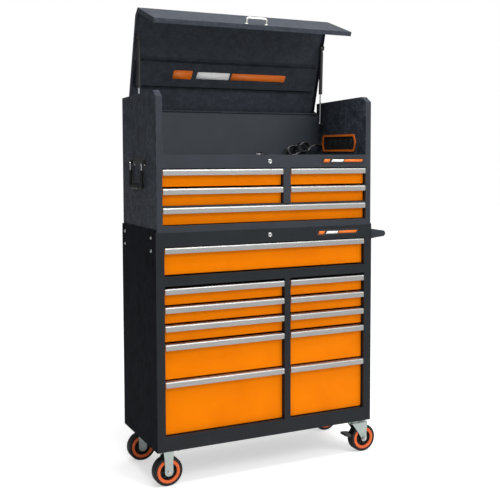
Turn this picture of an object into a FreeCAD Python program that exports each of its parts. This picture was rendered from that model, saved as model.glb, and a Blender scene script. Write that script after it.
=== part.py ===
import FreeCAD, Part
import math
import os

# Rolling tool chest: a five-drawer top chest with a lifting lid on an eleven-drawer cabinet on casters.
# Millimetres. While it is being built, X = 0 is the middle of the cabinet, Y = 0 the front of its frame
# (+Y to the back) and Z = 0 the floor. The finished model is moved so that its origin is the floor point
# under the middle of its bounding box. The lid is built at its open, propped position.

V = FreeCAD.Vector

# ---- driving dimensions -------------------------------------------------------------------------------
CASTER_H = 160.0        # floor to the underside of the cabinet
CAB_W = 1041.0
CAB_D = 463.0
SHEET = 1.5
CAB_TOP = CASTER_H + 916.0
RIM_H = 10.0            # raised edge round the cabinet's top, which the chest stands inside
CAB_POST = 38.0         # width of the cabinet's front posts
CHEST_INSET = 6.0       # the chest is this much narrower than the cabinet on each side
CHEST_POST = 26.0
CHEST_D = CAB_D - 2.0     # the chest stands just inside the cabinet's back panel
FRAME_D = 20.0          # depth of the front frames, and how far the drawer fronts stand back
CHEST_RIM = CASTER_H + 1236.0   # top of the chest's front rail
TILL_FLOOR = CASTER_H + 1222.0
SIDE_TOP_BACK = CASTER_H + 1489.0
SIDE_TOP_FRONT = CASTER_H + 1500.0
CHAMFER_Y = 38.0
CHAMFER_Z = 25.0
REVEAL = 2.5            # gap round a drawer front

# Drawer rows: bottom of the front above the cabinet's underside, height of the front.
CHEST_ROWS = [(946.0, 72.0), (1025.0, 72.0), (1104.0, 72.0)]    # full width, split, split
CAB_ROWS = [(739.0, 114.0), (613.5, 70.0), (536.0, 70.0), (458.5, 70.0), (300.0, 150.0), (66.0, 227.0)]
CHEST_MID = (66.5, 101.5)       # the upright between the two columns of chest drawers
CAB_MID = (72.0, 101.0)
BOX_L = 412.0           # length of a drawer box and of its slides
SLIDE_T = 12.0          # room for one slide beside a drawer box
SLIDE_GAP = 0.4         # between the fixed and the moving member of a slide
SLIDE_H = 45.0
BOX_T = 1.2
PULL_T = 1.8
PULL_D = 22.0
PULL_H = 25.0

HINGE_Y = 440.0
HINGE_Z = CASTER_H + 1436.0
LID_OPEN = 71.5         # degrees from closed
LID_W = 956.0
LID_T = 1.2
LID_CHEEK = 20.0
# The closed lid's outer outline from its hinge: distance forward, height.
LID_LINE = [(-16.0, 3.0), (-16.0, 53.0), (414.0, 66.0), (452.0, 41.0), (452.0, -193.0), (432.0, -193.0)]
KNUCKLE_R = 5.0
HINGE_L = 946.0

STRUT_X = 463.0
STRUT_FOOT = (385.0, CASTER_H + 1385.0)
STRUT_LID = (324.7, 34.8)       # the strut's lid end, in the closed lid's own directions
STRUT_BODY_L = 204.0
STRUT_END = 20.0

WHEEL_R = 63.5
WHEEL_W = 45.0
WHEEL_Y = (55.0, CAB_D - 55.0)
CASTER_X = 460.0
TRAIL = 45.0            # how far a swivel caster's axle trails its pivot
FORK_GAP = 25.5         # half the room between a fork's legs
FORK_T = 3.0
AXLE_R = 6.0
RUN = 0.08              # radial clearance of a running fit

HANDLE_Z = CASTER_H + 866.5
HANDLE_REACH = 105.0
BAIL_Y = 236.0
BAIL_Z = CASTER_H + 1204.0
STRIP_Y = (86.0, 397.0)
STRIP_Z = (CASTER_H + 1253.0, CASTER_H + 1328.0)
CORD_D = 7.0

HALF = CAB_W / 2
CHEST_HALF = HALF - CHEST_INSET
CAB_IN = HALF - CAB_POST                # inner edge of the cabinet's front posts
CHEST_IN = CHEST_HALF - CHEST_POST
LINER_IN = CHEST_IN - SHEET


# ---- helpers ------------------------------------------------------------------------------------------
def box(x0, x1, y0, y1, z0, z1):
    return Part.makeBox(x1 - x0, y1 - y0, z1 - z0, V(x0, y0, z0))


def rod(start, end, r):
    run = V(*end) - V(*start)
    return Part.makeCylinder(r, run.Length, V(*start), run)


def ring(start, end, r, bore):
    return rod(start, end, r).cut(rod(start, end, bore))


def prism(points, run):
    """A polygon of 3-D points, pushed along run."""
    corners = [V(*p) for p in points]
    return Part.Face(Part.makePolygon(corners + corners[:1])).extrude(V(*run))


def prism_x(points_yz, x0, x1):
    return prism([(x0, y, z) for y, z in points_yz], (x1 - x0, 0, 0))


def prism_y(points_xz, y0, y1):
    return prism([(x, y0, z) for x, z in points_xz], (0, y1 - y0, 0))


def channel(x0, x1, y0, y1, z0, z1, t=SHEET, ends=False):
    """A folded rail or post, open at the back. With ends, its two short ends are folded too."""
    tall = z1 - z0 > x1 - x0
    dx = t if tall or ends else 0
    dz = t if not tall or ends else 0
    return box(x0, x1, y0, y1, z0, z1).cut(box(x0 + dx, x1 - dx, y0 + t, y1, z0 + dz, z1 - dz))


def mirrored(shape):
    return shape.mirror(V(0, 0, 0), V(1, 0, 0))


def pair(shape):
    return [shape, mirrored(shape)]


def group(shapes):
    return Part.makeCompound(shapes)


def offset_line(points, d):
    """The open line of (a, b) points, moved sideways by d: to the right of its direction for d > 0."""
    moved = []
    for i in range(len(points)):
        normals = []
        for j in (i - 1, i):
            if 0 <= j < len(points) - 1:
                da = points[j + 1][0] - points[j][0]
                db = points[j + 1][1] - points[j][1]
                size = math.hypot(da, db)
                normals.append((db / size, -da / size))
        na = sum(n[0] for n in normals)
        nb = sum(n[1] for n in normals)
        k = d / (na * normals[0][0] + nb * normals[0][1])
        moved.append((points[i][0] + na * k, points[i][1] + nb * k))
    return moved


def bent_sheet(points, d):
    """The closed outline of a sheet of thickness d whose outside follows the points."""
    return points + offset_line(points, d)[::-1]


def folded(points, d, x0, x1):
    """A folded sheet as one flat solid for each panel, which meet at the folds."""
    inner = offset_line(points, d)
    panels = []
    for i in range(len(points) - 1):
        panels.append(prism_x(lid_yz([points[i], points[i + 1], inner[i + 1], inner[i]]), x0, x1))
    return panels


def tube(points, r, factor=0.45, largest=1000.0, report=""):
    """Straight runs joined by tangent arcs, each as large as its two runs allow, or as the largest cut."""
    pts = [V(*p) for p in points]
    edges = []
    here = pts[0]
    radii = []
    for a, b, c in zip(pts, pts[1:], pts[2:]):
        u = (b - a).normalize()
        w = (c - b).normalize()
        cut = min(factor * min((b - a).Length, (c - b).Length), largest)
        turn = u.getAngle(w)
        radii.append(round(cut / math.tan(turn / 2), 1))
        first = b - u * cut
        last = b + w * cut
        side = (w - u).normalize()
        middle = b + side * (radii[-1] / math.cos(turn / 2) - radii[-1])
        edges.append(Part.LineSegment(here, first).toShape())
        edges.append(Part.Arc(first, middle, last).toShape())
        here = last
    edges.append(Part.LineSegment(here, pts[-1]).toShape())
    path = Part.Wire(edges)
    start = (pts[1] - pts[0]).normalize()
    section = Part.Wire([Part.Circle(pts[0], start, r).toShape()])
    solid = path.makePipeShell([section], True, True)
    if report:
        ideal = math.pi * r * r * path.Length
        print(report, "length", round(path.Length, 1), "radii", radii, "volume", round(solid.Volume / ideal, 4))
    return solid


def rounded_bar(x0, x1, y0, y1, z0, z1, r, edges="x"):
    """A box with its four edges along one axis rounded."""
    shape = box(x0, x1, y0, y1, z0, z1)
    picked = []
    for e in shape.Edges:
        run = e.Vertexes[1].Point - e.Vertexes[0].Point
        if abs({"x": run.x, "y": run.y, "z": run.z}[edges]) > 1e-6:
            picked.append(e)
    return shape.makeFillet(r, picked)


# ---- cabinet ------------------------------------------------------------------------------------------
def z_cab(height):
    return CASTER_H + height


def cabinet_sides():
    top = CAB_TOP + RIM_H
    outline = [(0, CASTER_H), (CAB_D, CASTER_H), (CAB_D, top), (RIM_H + 2, top), (0, CAB_TOP)]
    return group(pair(prism_x(outline, HALF - SHEET, HALF)))


def back_panels():
    inner = HALF - SHEET
    cabinet = box(-inner, inner, CAB_D - SHEET, CAB_D, CASTER_H, CAB_TOP + RIM_H)
    low = CAB_TOP + SHEET
    top = HINGE_Z - KNUCKLE_R - 0.6
    chest = box(-LINER_IN, LINER_IN, HINGE_Y, HINGE_Y + SHEET, low, top)
    back_return = box(LINER_IN - SHEET, LINER_IN, HINGE_Y + SHEET, CHEST_D - SHEET, low, top)
    return group([cabinet, chest] + pair(back_return))


def cabinet_base():
    inner = HALF - SHEET
    return box(-inner, inner, FRAME_D, CAB_D - SHEET, CASTER_H, CASTER_H + 3)


def cabinet_deck():
    inner = HALF - SHEET
    return box(-inner, inner, 0, CAB_D - SHEET, CAB_TOP - SHEET, CAB_TOP)


BOTTOM_RAIL = z_cab(63)
MID_RAIL = (z_cab(693.5), z_cab(734))
TOP_RAIL = z_cab(856)
LOCK_R = 9.5
CHEST_LOCK_Z = z_cab(1208)
CAB_LOCK_Z = z_cab(889)


def lock_hole(rail, z):
    return rail.cut(rod((0, -1, z), (0, SHEET + 1, z), LOCK_R + RUN))


def cabinet_front_frame():
    deck = CAB_TOP - SHEET
    posts = pair(channel(CAB_IN, HALF - SHEET, 0, FRAME_D, CASTER_H, deck))
    bottom = channel(-CAB_IN, CAB_IN, 0, FRAME_D, CASTER_H, BOTTOM_RAIL)
    middle = channel(-CAB_IN, CAB_IN, 0, FRAME_D, *MID_RAIL)
    top = lock_hole(channel(-CAB_IN, CAB_IN, 0, FRAME_D, TOP_RAIL, deck), CAB_LOCK_Z)
    upright = channel(CAB_MID[0], CAB_MID[1], 0, FRAME_D, BOTTOM_RAIL, MID_RAIL[0])
    return group(posts + [bottom, middle, top, upright])


def column_dividers():
    def divider(mid, z0, z1, back):
        outer = box(mid[0], mid[1], FRAME_D, back, z0, z1)
        return outer.cut(box(mid[0] + SHEET, mid[1] - SHEET, FRAME_D, back, z0, z1))
    cabinet = divider(CAB_MID, CASTER_H + 3, MID_RAIL[0], CAB_D - SHEET)
    chest = divider(CHEST_MID, z_cab(1024.5), TILL_FLOOR - SHEET, HINGE_Y)
    return group([cabinet, chest])


# ---- top chest ----------------------------------------------------------------------------------------
def side_outline(foot):
    """A chest side's outline: the points of its foot, then up its back, along its top and down the chamfer."""
    return foot + [(CHEST_D, SIDE_TOP_BACK), (CHAMFER_Y, SIDE_TOP_FRONT), (0, SIDE_TOP_FRONT - CHAMFER_Z)]


def strip_outline(grow):
    """The power strip's six-sided outline in Y and Z: two long edges and slightly pointed ends."""
    y0, y1 = STRIP_Y
    z0, z1 = STRIP_Z
    return [(y0 - grow, (z0 + z1) / 2), (y0 + 14 - 0.7 * grow, z1 + grow), (y1 - 12 + 0.7 * grow, z1 + grow),
            (y1 + grow, (z0 + z1) / 2), (y1 - 12 + 0.7 * grow, z0 - grow), (y0 + 14 - 0.7 * grow, z0 - grow)]


def chest_sides():
    outer = prism_x(side_outline([(0, CAB_TOP), (CHEST_D, CAB_TOP)]), CHEST_HALF - SHEET, CHEST_HALF)
    low = TILL_FLOOR - SHEET
    wall_foot = [(0, CHEST_RIM), (FRAME_D, CHEST_RIM), (FRAME_D, low), (CHEST_D, low)]
    wall = prism_x(side_outline(wall_foot), LINER_IN, CHEST_IN)
    right_wall = wall.cut(prism_x(strip_outline(-4), LINER_IN, CHEST_IN))
    right_wall = right_wall.cut(rod((LINER_IN, CORD_Y, CORD_Z), (CHEST_IN, CORD_Y, CORD_Z), GLAND_R))
    post_top = SIDE_TOP_FRONT - CHAMFER_Z + FRAME_D * CHAMFER_Z / CHAMFER_Y
    cap_line = [(CHEST_D, CAB_TOP), (CHEST_D, SIDE_TOP_BACK), (CHAMFER_Y, SIDE_TOP_FRONT), (FRAME_D + 1, post_top)]
    cap = prism_x(bent_sheet(cap_line, -SHEET), CHEST_IN, CHEST_HALF - SHEET)
    return group(pair(outer) + [right_wall, mirrored(wall)] + pair(cap))


def chest_base():
    inner = CHEST_HALF - SHEET
    return box(-inner, inner, FRAME_D, CHEST_D - SHEET, CAB_TOP, CAB_TOP + SHEET)


def chest_tray():
    return box(-LINER_IN, LINER_IN, FRAME_D, HINGE_Y, TILL_FLOOR - SHEET, TILL_FLOOR)


def chest_front_frame():
    inner = CHEST_HALF - SHEET
    top = SIDE_TOP_FRONT - CHAMFER_Z
    slope = CHAMFER_Z / CHAMFER_Y
    post = prism_x([(0, CAB_TOP), (FRAME_D, CAB_TOP), (FRAME_D, top + FRAME_D * slope), (0, top)], CHEST_IN, inner)
    hollow = box(CHEST_IN + SHEET, inner - SHEET, SHEET, FRAME_D, CAB_TOP, top)
    posts = pair(post.cut(hollow))
    bottom = channel(-CHEST_IN, CHEST_IN, 0, FRAME_D, CAB_TOP, z_cab(943.5))
    till = lock_hole(channel(-CHEST_IN, CHEST_IN, 0, FRAME_D, z_cab(1179.5), CHEST_RIM), CHEST_LOCK_Z)
    ledge = channel(-CHEST_IN, CHEST_IN, 4, FRAME_D, z_cab(1018.5), z_cab(1024.5), 1.2)
    upright = channel(CHEST_MID[0], CHEST_MID[1], 0, FRAME_D, z_cab(1024.5), z_cab(1179.5))
    return group(posts + [bottom, till, ledge, upright])


# ---- drawers ------------------------------------------------------------------------------------------
def drawer_list():
    """Each drawer's name, the sides of its opening, and the bottom and top of its front."""
    rows = []
    for tier, tier_rows, inner, mid in (("chest", CHEST_ROWS, CHEST_IN, CHEST_MID),
                                        ("cabinet", CAB_ROWS, CAB_IN, CAB_MID)):
        for i, (z0, height) in enumerate(tier_rows):
            z0, z1 = z_cab(z0), z_cab(z0 + height)
            if i == 0:
                rows.append((tier + "_drawer_wide", -inner, inner, z0, z1))
            else:
                number = i if tier == "cabinet" else len(tier_rows) - i
                rows.append((tier + "_drawer_left_%d" % number, -inner, mid[0], z0, z1))
                rows.append((tier + "_drawer_right_%d" % number, mid[1], inner, z0, z1))
    return rows


DRAWERS = drawer_list()
FRONT_Y = FRAME_D
BOX_Y0 = FRONT_Y + 12.0
BOX_Y1 = FRONT_Y + 4.0 + BOX_L


def slide_z(z0, z1):
    """The bottom of a drawer's slides: near the middle of a shallow drawer, low on a tall one."""
    return z0 + 12.0 if z1 - z0 < 120 else z0 + 30.0


def box_top(z0, z1):
    return z1 - 9.0 if z1 - z0 < 120 else z1 - 16.0


def slide_bar(x, reach, y0, y1, z0, z1):
    """A slide's channel: its web lies at x, and its two lips reach away from that."""
    lo, hi = sorted((x, x + reach))
    gap_lo, gap_hi = sorted((x + math.copysign(SHEET, reach), x + reach))
    return box(lo, hi, y0, y1, z0, z1).cut(box(gap_lo, gap_hi, y0, y1, z0 + 2 * SHEET, z1 - 2 * SHEET))


def drawer(x0, x1, z0, z1):
    f0, f1 = x0 + REVEAL, x1 - REVEAL
    b0, b1 = x0 + SLIDE_T, x1 - SLIDE_T
    top = box_top(z0, z1)
    front = box(f0, f1, FRONT_Y, BOX_Y0, z0, z1)
    front = front.cut(box(f0 + SHEET, f1 - SHEET, FRONT_Y + SHEET, BOX_Y0, z0 + SHEET, z1 - SHEET))
    floor = box(b0, b1, BOX_Y0, BOX_Y1, z0 + 4, z0 + 4 + BOX_T)
    wall_z = z0 + 4 + BOX_T
    near = box(b0 + BOX_T, b1 - BOX_T, BOX_Y0, BOX_Y0 + BOX_T, wall_z, top)
    left = box(b0, b0 + BOX_T, BOX_Y0, BOX_Y1, wall_z, top)
    right = box(b1 - BOX_T, b1, BOX_Y0, BOX_Y1, wall_z, top)
    rear = box(b0 + BOX_T, b1 - BOX_T, BOX_Y1 - BOX_T, BOX_Y1, wall_z, top)
    pull = pull_rail(f0, f1, z1)
    z = slide_z(z0, z1)
    moving = SLIDE_T / 2 - SLIDE_GAP
    runners = [slide_bar(b0, -moving, BOX_Y0 + 4, BOX_Y1, z + 6, z + SLIDE_H - 6),
               slide_bar(b1, moving, BOX_Y0 + 4, BOX_Y1, z + 6, z + SLIDE_H - 6)]
    return group([front, floor, near, left, right, rear, pull] + runners)


def pull_rail(x0, x1, top):
    """The extruded pull along a drawer's top edge: a flat top, a rounded nose and a hanging lip."""
    back, nose = FRONT_Y, FRONT_Y - PULL_D
    r = 7.0
    s = math.sqrt(0.5)
    outer = [V(x0, back, top), V(x0, nose + r, top), V(x0, nose, top - r), V(x0, nose, top - PULL_H)]
    mid_out = V(x0, nose + r - r * s, top - r + r * s)
    q = r - PULL_T
    inner = [V(x0, nose + PULL_T, top - PULL_H), V(x0, nose + PULL_T, top - r), V(x0, nose + r, top - PULL_T),
             V(x0, back, top - PULL_T)]
    mid_in = V(x0, nose + r - q * s, top - r + q * s)
    edges = [Part.LineSegment(outer[0], outer[1]).toShape(), Part.Arc(outer[1], mid_out, outer[2]).toShape(),
             Part.LineSegment(outer[2], outer[3]).toShape(), Part.LineSegment(outer[3], inner[0]).toShape(),
             Part.LineSegment(inner[0], inner[1]).toShape(), Part.Arc(inner[1], mid_in, inner[2]).toShape(),
             Part.LineSegment(inner[2], inner[3]).toShape(), Part.LineSegment(inner[3], outer[0]).toShape()]
    return Part.Face(Part.Wire(edges)).extrude(V(x1 - x0, 0, 0))


def drawer_slides():
    """The fixed member of every slide, and the uprights that hold the outer ones off the side panels."""
    solids = []
    fixed = SLIDE_T / 2
    for name, x0, x1, z0, z1 in DRAWERS:
        z = slide_z(z0, z1)
        y0, y1 = BOX_Y0 + 2, BOX_Y1 + 2
        solids.append(slide_bar(x0, fixed, y0, y1, z, z + SLIDE_H))
        solids.append(slide_bar(x1, -fixed, y0, y1, z, z + SLIDE_H))
    for inner, outer, z0, z1 in ((CAB_IN, HALF - SHEET, CASTER_H + 3, CAB_TOP - SHEET),
                                 (CHEST_IN, CHEST_HALF - SHEET, CAB_TOP + SHEET, TILL_FLOOR - SHEET)):
        for y in (34.0, 220.0, 400.0):
            post = box(inner, outer, y, y + 30, z0, z1)
            solids += pair(post.cut(box(inner + SHEET, outer, y + SHEET, y + 30 - SHEET, z0, z1)))
    return group(solids)


# ---- lid ----------------------------------------------------------------------------------------------
def lid_pose(shape):
    """Carries a shape from the closed lid's place to its open one."""
    turned = shape.copy()
    turned.rotate(V(0, HINGE_Y, HINGE_Z), V(1, 0, 0), -LID_OPEN)
    return turned


def lid_yz(points):
    return [(HINGE_Y - s, HINGE_Z + n) for s, n in points]


def skin_height(s):
    (s0, n0), (s1, n1) = LID_LINE[1], LID_LINE[2]
    return n0 + (s - s0) * (n1 - n0) / (s1 - s0)


def hinge_segments():
    count = 11
    length = HINGE_L / count
    for i in range(count):
        x0 = -HINGE_L / 2 + i * length
        yield i % 2 == 0, x0 + 0.3, x0 + length - 0.3


def lid_shell():
    """The folded skin, the two end plates welded into it and the hinge's moving knuckles."""
    half = LID_W / 2
    inside = offset_line(LID_LINE, LID_T)[:5]
    solids = folded(LID_LINE, LID_T, -half, half)
    for band in folded(inside, LID_CHEEK, half - LID_T, half):
        solids += pair(band)
    for fixed, x0, x1 in hinge_segments():
        if not fixed:
            knuckle = rod((x0, HINGE_Y, HINGE_Z), (x1, HINGE_Y, HINGE_Z), KNUCKLE_R)
            leaf = box(x0, x1, HINGE_Y, HINGE_Y - LID_LINE[0][0] - LID_T, HINGE_Z + 3.8, HINGE_Z + 5)
            bore = rod((x0, HINGE_Y, HINGE_Z), (x1, HINGE_Y, HINGE_Z), 2.5 + RUN)
            solids.append(knuckle.fuse(leaf).cut(bore))
    return lid_pose(group(solids))


def chest_hinge():
    """The hinge's fixed leaf, its knuckles and the pin through all of them."""
    leaf = box(-HINGE_L / 2, HINGE_L / 2, HINGE_Y + SHEET, HINGE_Y + 2 * SHEET, HINGE_Z - 28, HINGE_Z - 7)
    solids = [leaf, rod((-HINGE_L / 2 - 1, HINGE_Y, HINGE_Z), (HINGE_L / 2 + 1, HINGE_Y, HINGE_Z), 2.5)]
    for fixed, x0, x1 in hinge_segments():
        if fixed:
            knuckle = rod((x0, HINGE_Y, HINGE_Z), (x1, HINGE_Y, HINGE_Z), KNUCKLE_R)
            tab = box(x0, x1, HINGE_Y + SHEET, HINGE_Y + 2 * SHEET, HINGE_Z - 7, HINGE_Z)
            bore = rod((x0, HINGE_Y, HINGE_Z), (x1, HINGE_Y, HINGE_Z), 2.5)
            solids.append(knuckle.fuse(tab).cut(bore))
    return group(solids)


def lid_stiffener():
    """A hat-section band across the inside of the lid."""
    t = 1.0
    rise = 18.0
    line = []
    for s, drop in ((86.0, t), (98.0, t), (106.0, rise), (216.0, rise), (224.0, t), (236.0, t)):
        line.append((s, skin_height(s) - LID_T - drop - 0.05))
    half = LID_W / 2 - LID_CHEEK - 0.5
    return lid_pose(prism_x(lid_yz(bent_sheet(line, -t)), -half, half))


def lid_pull():
    """The bail pull near the lid's front edge, with a washer under each foot."""
    y = HINGE_Y - LID_LINE[4][0]
    z = HINGE_Z + LID_LINE[4][1] + 24
    half = 48.0
    reach = 29.0
    path = [(-half, y, z), (-half, y - reach, z), (half, y - reach, z), (half, y, z)]
    feet = [ring((x, y, z), (x, y - 2, z), 9, 5) for x in (-half, half)]
    return lid_pose(group([tube(path, 5.0, 0.4, 9.0)] + feet))


def lid_brackets():
    """The plate at each side that the strut's lid end stands beside."""
    s, n = STRUT_LID
    line = [(s - 18, skin_height(s - 18) - LID_T), (s + 18, skin_height(s + 18) - LID_T), (s + 9, n - 9), (s - 9, n - 9)]
    plate = prism_x(lid_yz(line), STRUT_X + 8.5, STRUT_X + 11)
    stud = rod((STRUT_X + 7.2, HINGE_Y - s, HINGE_Z + n), (STRUT_X + 8.5, HINGE_Y - s, HINGE_Z + n), 5)
    return lid_pose(group(pair(plate.fuse(stud))))


# ---- gas struts ---------------------------------------------------------------------------------------
def lid_ball():
    """Where the strut's lid end is while the lid is open."""
    s, n = STRUT_LID
    c, k = math.cos(math.radians(LID_OPEN)), math.sin(math.radians(LID_OPEN))
    return HINGE_Y - (s * c - n * k), HINGE_Z + s * k + n * c


def along_strut(x, d):
    (y0, z0), (y1, z1) = STRUT_FOOT, lid_ball()
    t = d / math.hypot(y1 - y0, z1 - z0)
    return (x, y0 + (y1 - y0) * t, z0 + (z1 - z0) * t)


STRUT_L = math.hypot(lid_ball()[0] - STRUT_FOOT[0], lid_ball()[1] - STRUT_FOOT[1])
STRUT_R = 9.0
STRUT_BORE = 7.8
ROD_R = 4.0
STUD_R = 3.0
SOCKET_R = 6.5
GLAND_L = 10.0


def strut_rod(x):
    body_start = STRUT_L - STRUT_END - STRUT_BODY_L
    y, z = STRUT_FOOT
    socket = rod((x - 6.5, y, z), (x + 6.5, y, z), SOCKET_R)
    tip = along_strut(x, body_start + GLAND_L + 10)
    stem = rod(along_strut(x, 0), tip, ROD_R)
    piston = rod(along_strut(x, body_start + GLAND_L + 2), tip, STRUT_BORE - 0.06)
    bore = rod((x - 7, y, z), (x + 7, y, z), STUD_R + RUN)
    return stem.fuse(socket).fuse(piston).cut(bore)


def strut_cylinder(x):
    start = STRUT_L - STRUT_END - STRUT_BODY_L
    end = STRUT_L - STRUT_END
    y, z = lid_ball()
    body = rod(along_strut(x, start), along_strut(x, end), STRUT_R)
    body = body.cut(rod(along_strut(x, start + GLAND_L), along_strut(x, end - 6), STRUT_BORE))
    body = body.cut(rod(along_strut(x, start - 1), along_strut(x, start + GLAND_L + 1), ROD_R + RUN))
    neck = rod(along_strut(x, end), along_strut(x, STRUT_L), 5)
    socket = rod((x - 6.5, y, z), (x + 6.5, y, z), SOCKET_R)
    return body.fuse(neck).fuse(socket)


def chest_strut_brackets():
    y, z = STRUT_FOOT
    plate = rounded_bar(LINER_IN - 3, LINER_IN, y - 16, y + 16, z - 26, z + 14, 6)
    stud = rod((STRUT_X - 7.5, y, z), (LINER_IN - 3, y, z), STUD_R)
    head = rod((STRUT_X - 9, y, z), (STRUT_X - 7.5, y, z), 5)
    return group(pair(plate.fuse(stud).fuse(head)))


# ---- locks --------------------------------------------------------------------------------------------
def lock_cylinder(z):
    barrel = rod((0, -3, z), (0, 22, z), LOCK_R)
    keyway = box(-0.8, 0.8, -4, 4, z - 4.5, z + 4.5)
    cam = box(-6, 6, 22, 24, z - 26, z + 6)
    return barrel.fuse(cam).cut(keyway)


# ---- power strip and its cord ---------------------------------------------------------------------------
CORD_Y = 416.0
CORD_Z = z_cab(1284)
GLAND_R = 8.0
SWITCH_Y = (122.0, 140.0)
SWITCH_Z = (z_cab(1278), z_cab(1303))
SWITCH_X = LINER_IN + 3.0       # the rocker's pivot
PIVOT_R = 1.5


def power_strip():
    """The outlet box set into the right wall, and the gland that its cord leaves by."""
    body = prism_x(strip_outline(-4.3), LINER_IN + 1.0, CHEST_IN + 18)
    y0, y1 = SWITCH_Y
    z0, z1 = SWITCH_Z
    body = body.cut(box(LINER_IN + 0.5, LINER_IN + 9, y0 - 0.5, y1 + 0.5, z0 - 0.5, z1 + 0.5))
    body = body.cut(rod((SWITCH_X, y0 - 3, (z0 + z1) / 2), (SWITCH_X, y1 + 3, (z0 + z1) / 2), PIVOT_R + RUN))
    gland = rod((LINER_IN - 4, CORD_Y, CORD_Z), (CHEST_IN, CORD_Y, CORD_Z), GLAND_R - 0.05)
    flange = rod((LINER_IN - 4, CORD_Y, CORD_Z), (LINER_IN, CORD_Y, CORD_Z), GLAND_R + 3)
    boot = Part.makeCone(7.0, 4.6, 26, V(LINER_IN - 4, CORD_Y, CORD_Z), V(-1, 0, 0))
    return group([body, gland.fuse(flange).fuse(boot)])


def power_strip_bezel():
    outer = prism_x(strip_outline(3), LINER_IN - 4, LINER_IN)
    return outer.cut(prism_x(strip_outline(-4.3), LINER_IN - 4, LINER_IN))


def power_switch():
    """A rocker that tips about its lower middle: flush at one end, proud at the other."""
    y0, y1 = SWITCH_Y
    z0, z1 = SWITCH_Z
    face = LINER_IN - 1.0
    outline = [(face + 7.5, z0 + 3), (face + 7.5, z1 - 3), (face + 0.5, z1), (face - 2.0, (z0 + z1) / 2), (face - 3.5, z0)]
    pivot = rod((SWITCH_X, y0 - 2, (z0 + z1) / 2), (SWITCH_X, y1 + 2, (z0 + z1) / 2), PIVOT_R)
    return prism_y(outline, y0 + 0.4, y1 - 0.4).fuse(pivot)


CORD_START = (LINER_IN - 30, CORD_Y, CORD_Z)
HANK_X = (284.0, 426.0)
HANK_Y = (378.0, 438.0)
HANK_TOP = z_cab(1304)
# The cord from the boot to the hank, and from the hank to the plug.
CORD_HEAD = [CORD_START, (442.0, 416.0, z_cab(1280.0)), (HANK_X[1], 416.0, z_cab(1265.0))]
CORD_TAIL = [(HANK_X[0], 393.0, z_cab(1229.5)), (260.0, 399.0, z_cab(1227.0)), (234.0, 406.0, z_cab(1227.0)),
             (208.0, 406.0, z_cab(1230.0)), (186.0, 402.0, z_cab(1235.0))]
PLUG_X = (126.0, 186.0)


def power_cord():
    head = tube(CORD_HEAD, CORD_D / 2, report="cord head")
    tail = tube(CORD_TAIL, CORD_D / 2, report="cord tail")
    return group([head, tail])


def cord_hank():
    """The outer shape of the tied hank: an oval loop on edge against the back wall."""
    x0, x1 = HANK_X
    y0, y1 = HANK_Y
    low, high = TILL_FLOOR, HANK_TOP
    outline = [(x0, low), (x1 - 22, low), (x1, low + 22), (x1, high - 14), (x1 - 16, high), (x0 + 8, high),
               (x0, high - 14)]
    return prism_y(outline, y0, y1)


def cord_plug():
    """A round-bodied plug lying on the till's floor, with two flat blades and a round earth pin."""
    z = TILL_FLOOR + 13.0
    y = 402.0
    x0, x1 = PLUG_X
    grip = Part.makeCone(5.0, 12.0, 26, V(x1, y, z), V(-1, 0, 0))
    head = rod((x1 - 26, y, z), (x0 + 20, y, z), 13.0)
    blades = [box(x0 + 2, x0 + 20, y + side - 0.8, y + side + 0.8, z - 1, z + 5.5) for side in (-6.3, 6.3)]
    earth = rod((x0, y, z - 7.5), (x0 + 20, y, z - 7.5), 2.4)
    return group([grip.fuse(head)] + blades + [earth])


# ---- handles ------------------------------------------------------------------------------------------
BRACKET_Y = (52.0, 414.0)
BRACKET_T = 24.0
GRIP_R = 14.0
BOLT_Z = 27.5


def push_handle_bar():
    x = HALF + HANDLE_REACH - GRIP_R
    return rod((x, BRACKET_Y[0] + BRACKET_T / 2, HANDLE_Z), (x, BRACKET_Y[1] - BRACKET_T / 2, HANDLE_Z), GRIP_R)


def handle_bolt(x, y, z, side):
    return rod((x, y, z), (x + side * 3, y, z), 7).fuse(rod((x + side * 3, y, z), (x + side * 6, y, z), 4.5))


def push_handle_mounts():
    """Both end brackets, and the four bolts that fill the spare handle holes on the left side."""
    x0 = HALF
    tip = HALF + HANDLE_REACH - GRIP_R
    solids = []
    for y in BRACKET_Y:
        web = prism_y([(x0, HANDLE_Z - 38), (x0 + 6, HANDLE_Z - 38), (x0 + 14, HANDLE_Z - 25), (x0 + 36, HANDLE_Z - 20),
                       (tip, HANDLE_Z - GRIP_R), (tip, HANDLE_Z + GRIP_R), (x0 + 36, HANDLE_Z + 20),
                       (x0 + 14, HANDLE_Z + 25), (x0 + 6, HANDLE_Z + 38), (x0, HANDLE_Z + 38)],
                      y - BRACKET_T / 2, y + BRACKET_T / 2)
        nose = rod((tip, y - BRACKET_T / 2, HANDLE_Z), (tip, y + BRACKET_T / 2, HANDLE_Z), GRIP_R)
        solids.append(web.fuse(nose).removeSplitter())
        for dz in (-BOLT_Z, BOLT_Z):
            solids.append(handle_bolt(-HALF, y, HANDLE_Z + dz, -1))
    return group(solids)


BAIL_X = CHEST_HALF + 11.0
BAIL_HALF = 78.0
BAIL_DROP = 106.0


def side_handle_plates():
    plate = rounded_bar(CHEST_HALF, CHEST_HALF + 2, BAIL_Y - 100, BAIL_Y + 100, BAIL_Z - 17, BAIL_Z + 17, 6)
    solids = plate
    for s in (-1, 1):
        y = sorted((BAIL_Y + s * 88, BAIL_Y + s * 92))
        lug = box(CHEST_HALF + 2, BAIL_X + 8, y[0], y[1], BAIL_Z - 8, BAIL_Z + 8)
        lug = lug.cut(rod((BAIL_X, y[0] - 1, BAIL_Z), (BAIL_X, y[1] + 1, BAIL_Z), 4 + RUN))
        solids = solids.fuse(lug)
    return group(pair(solids))


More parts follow.
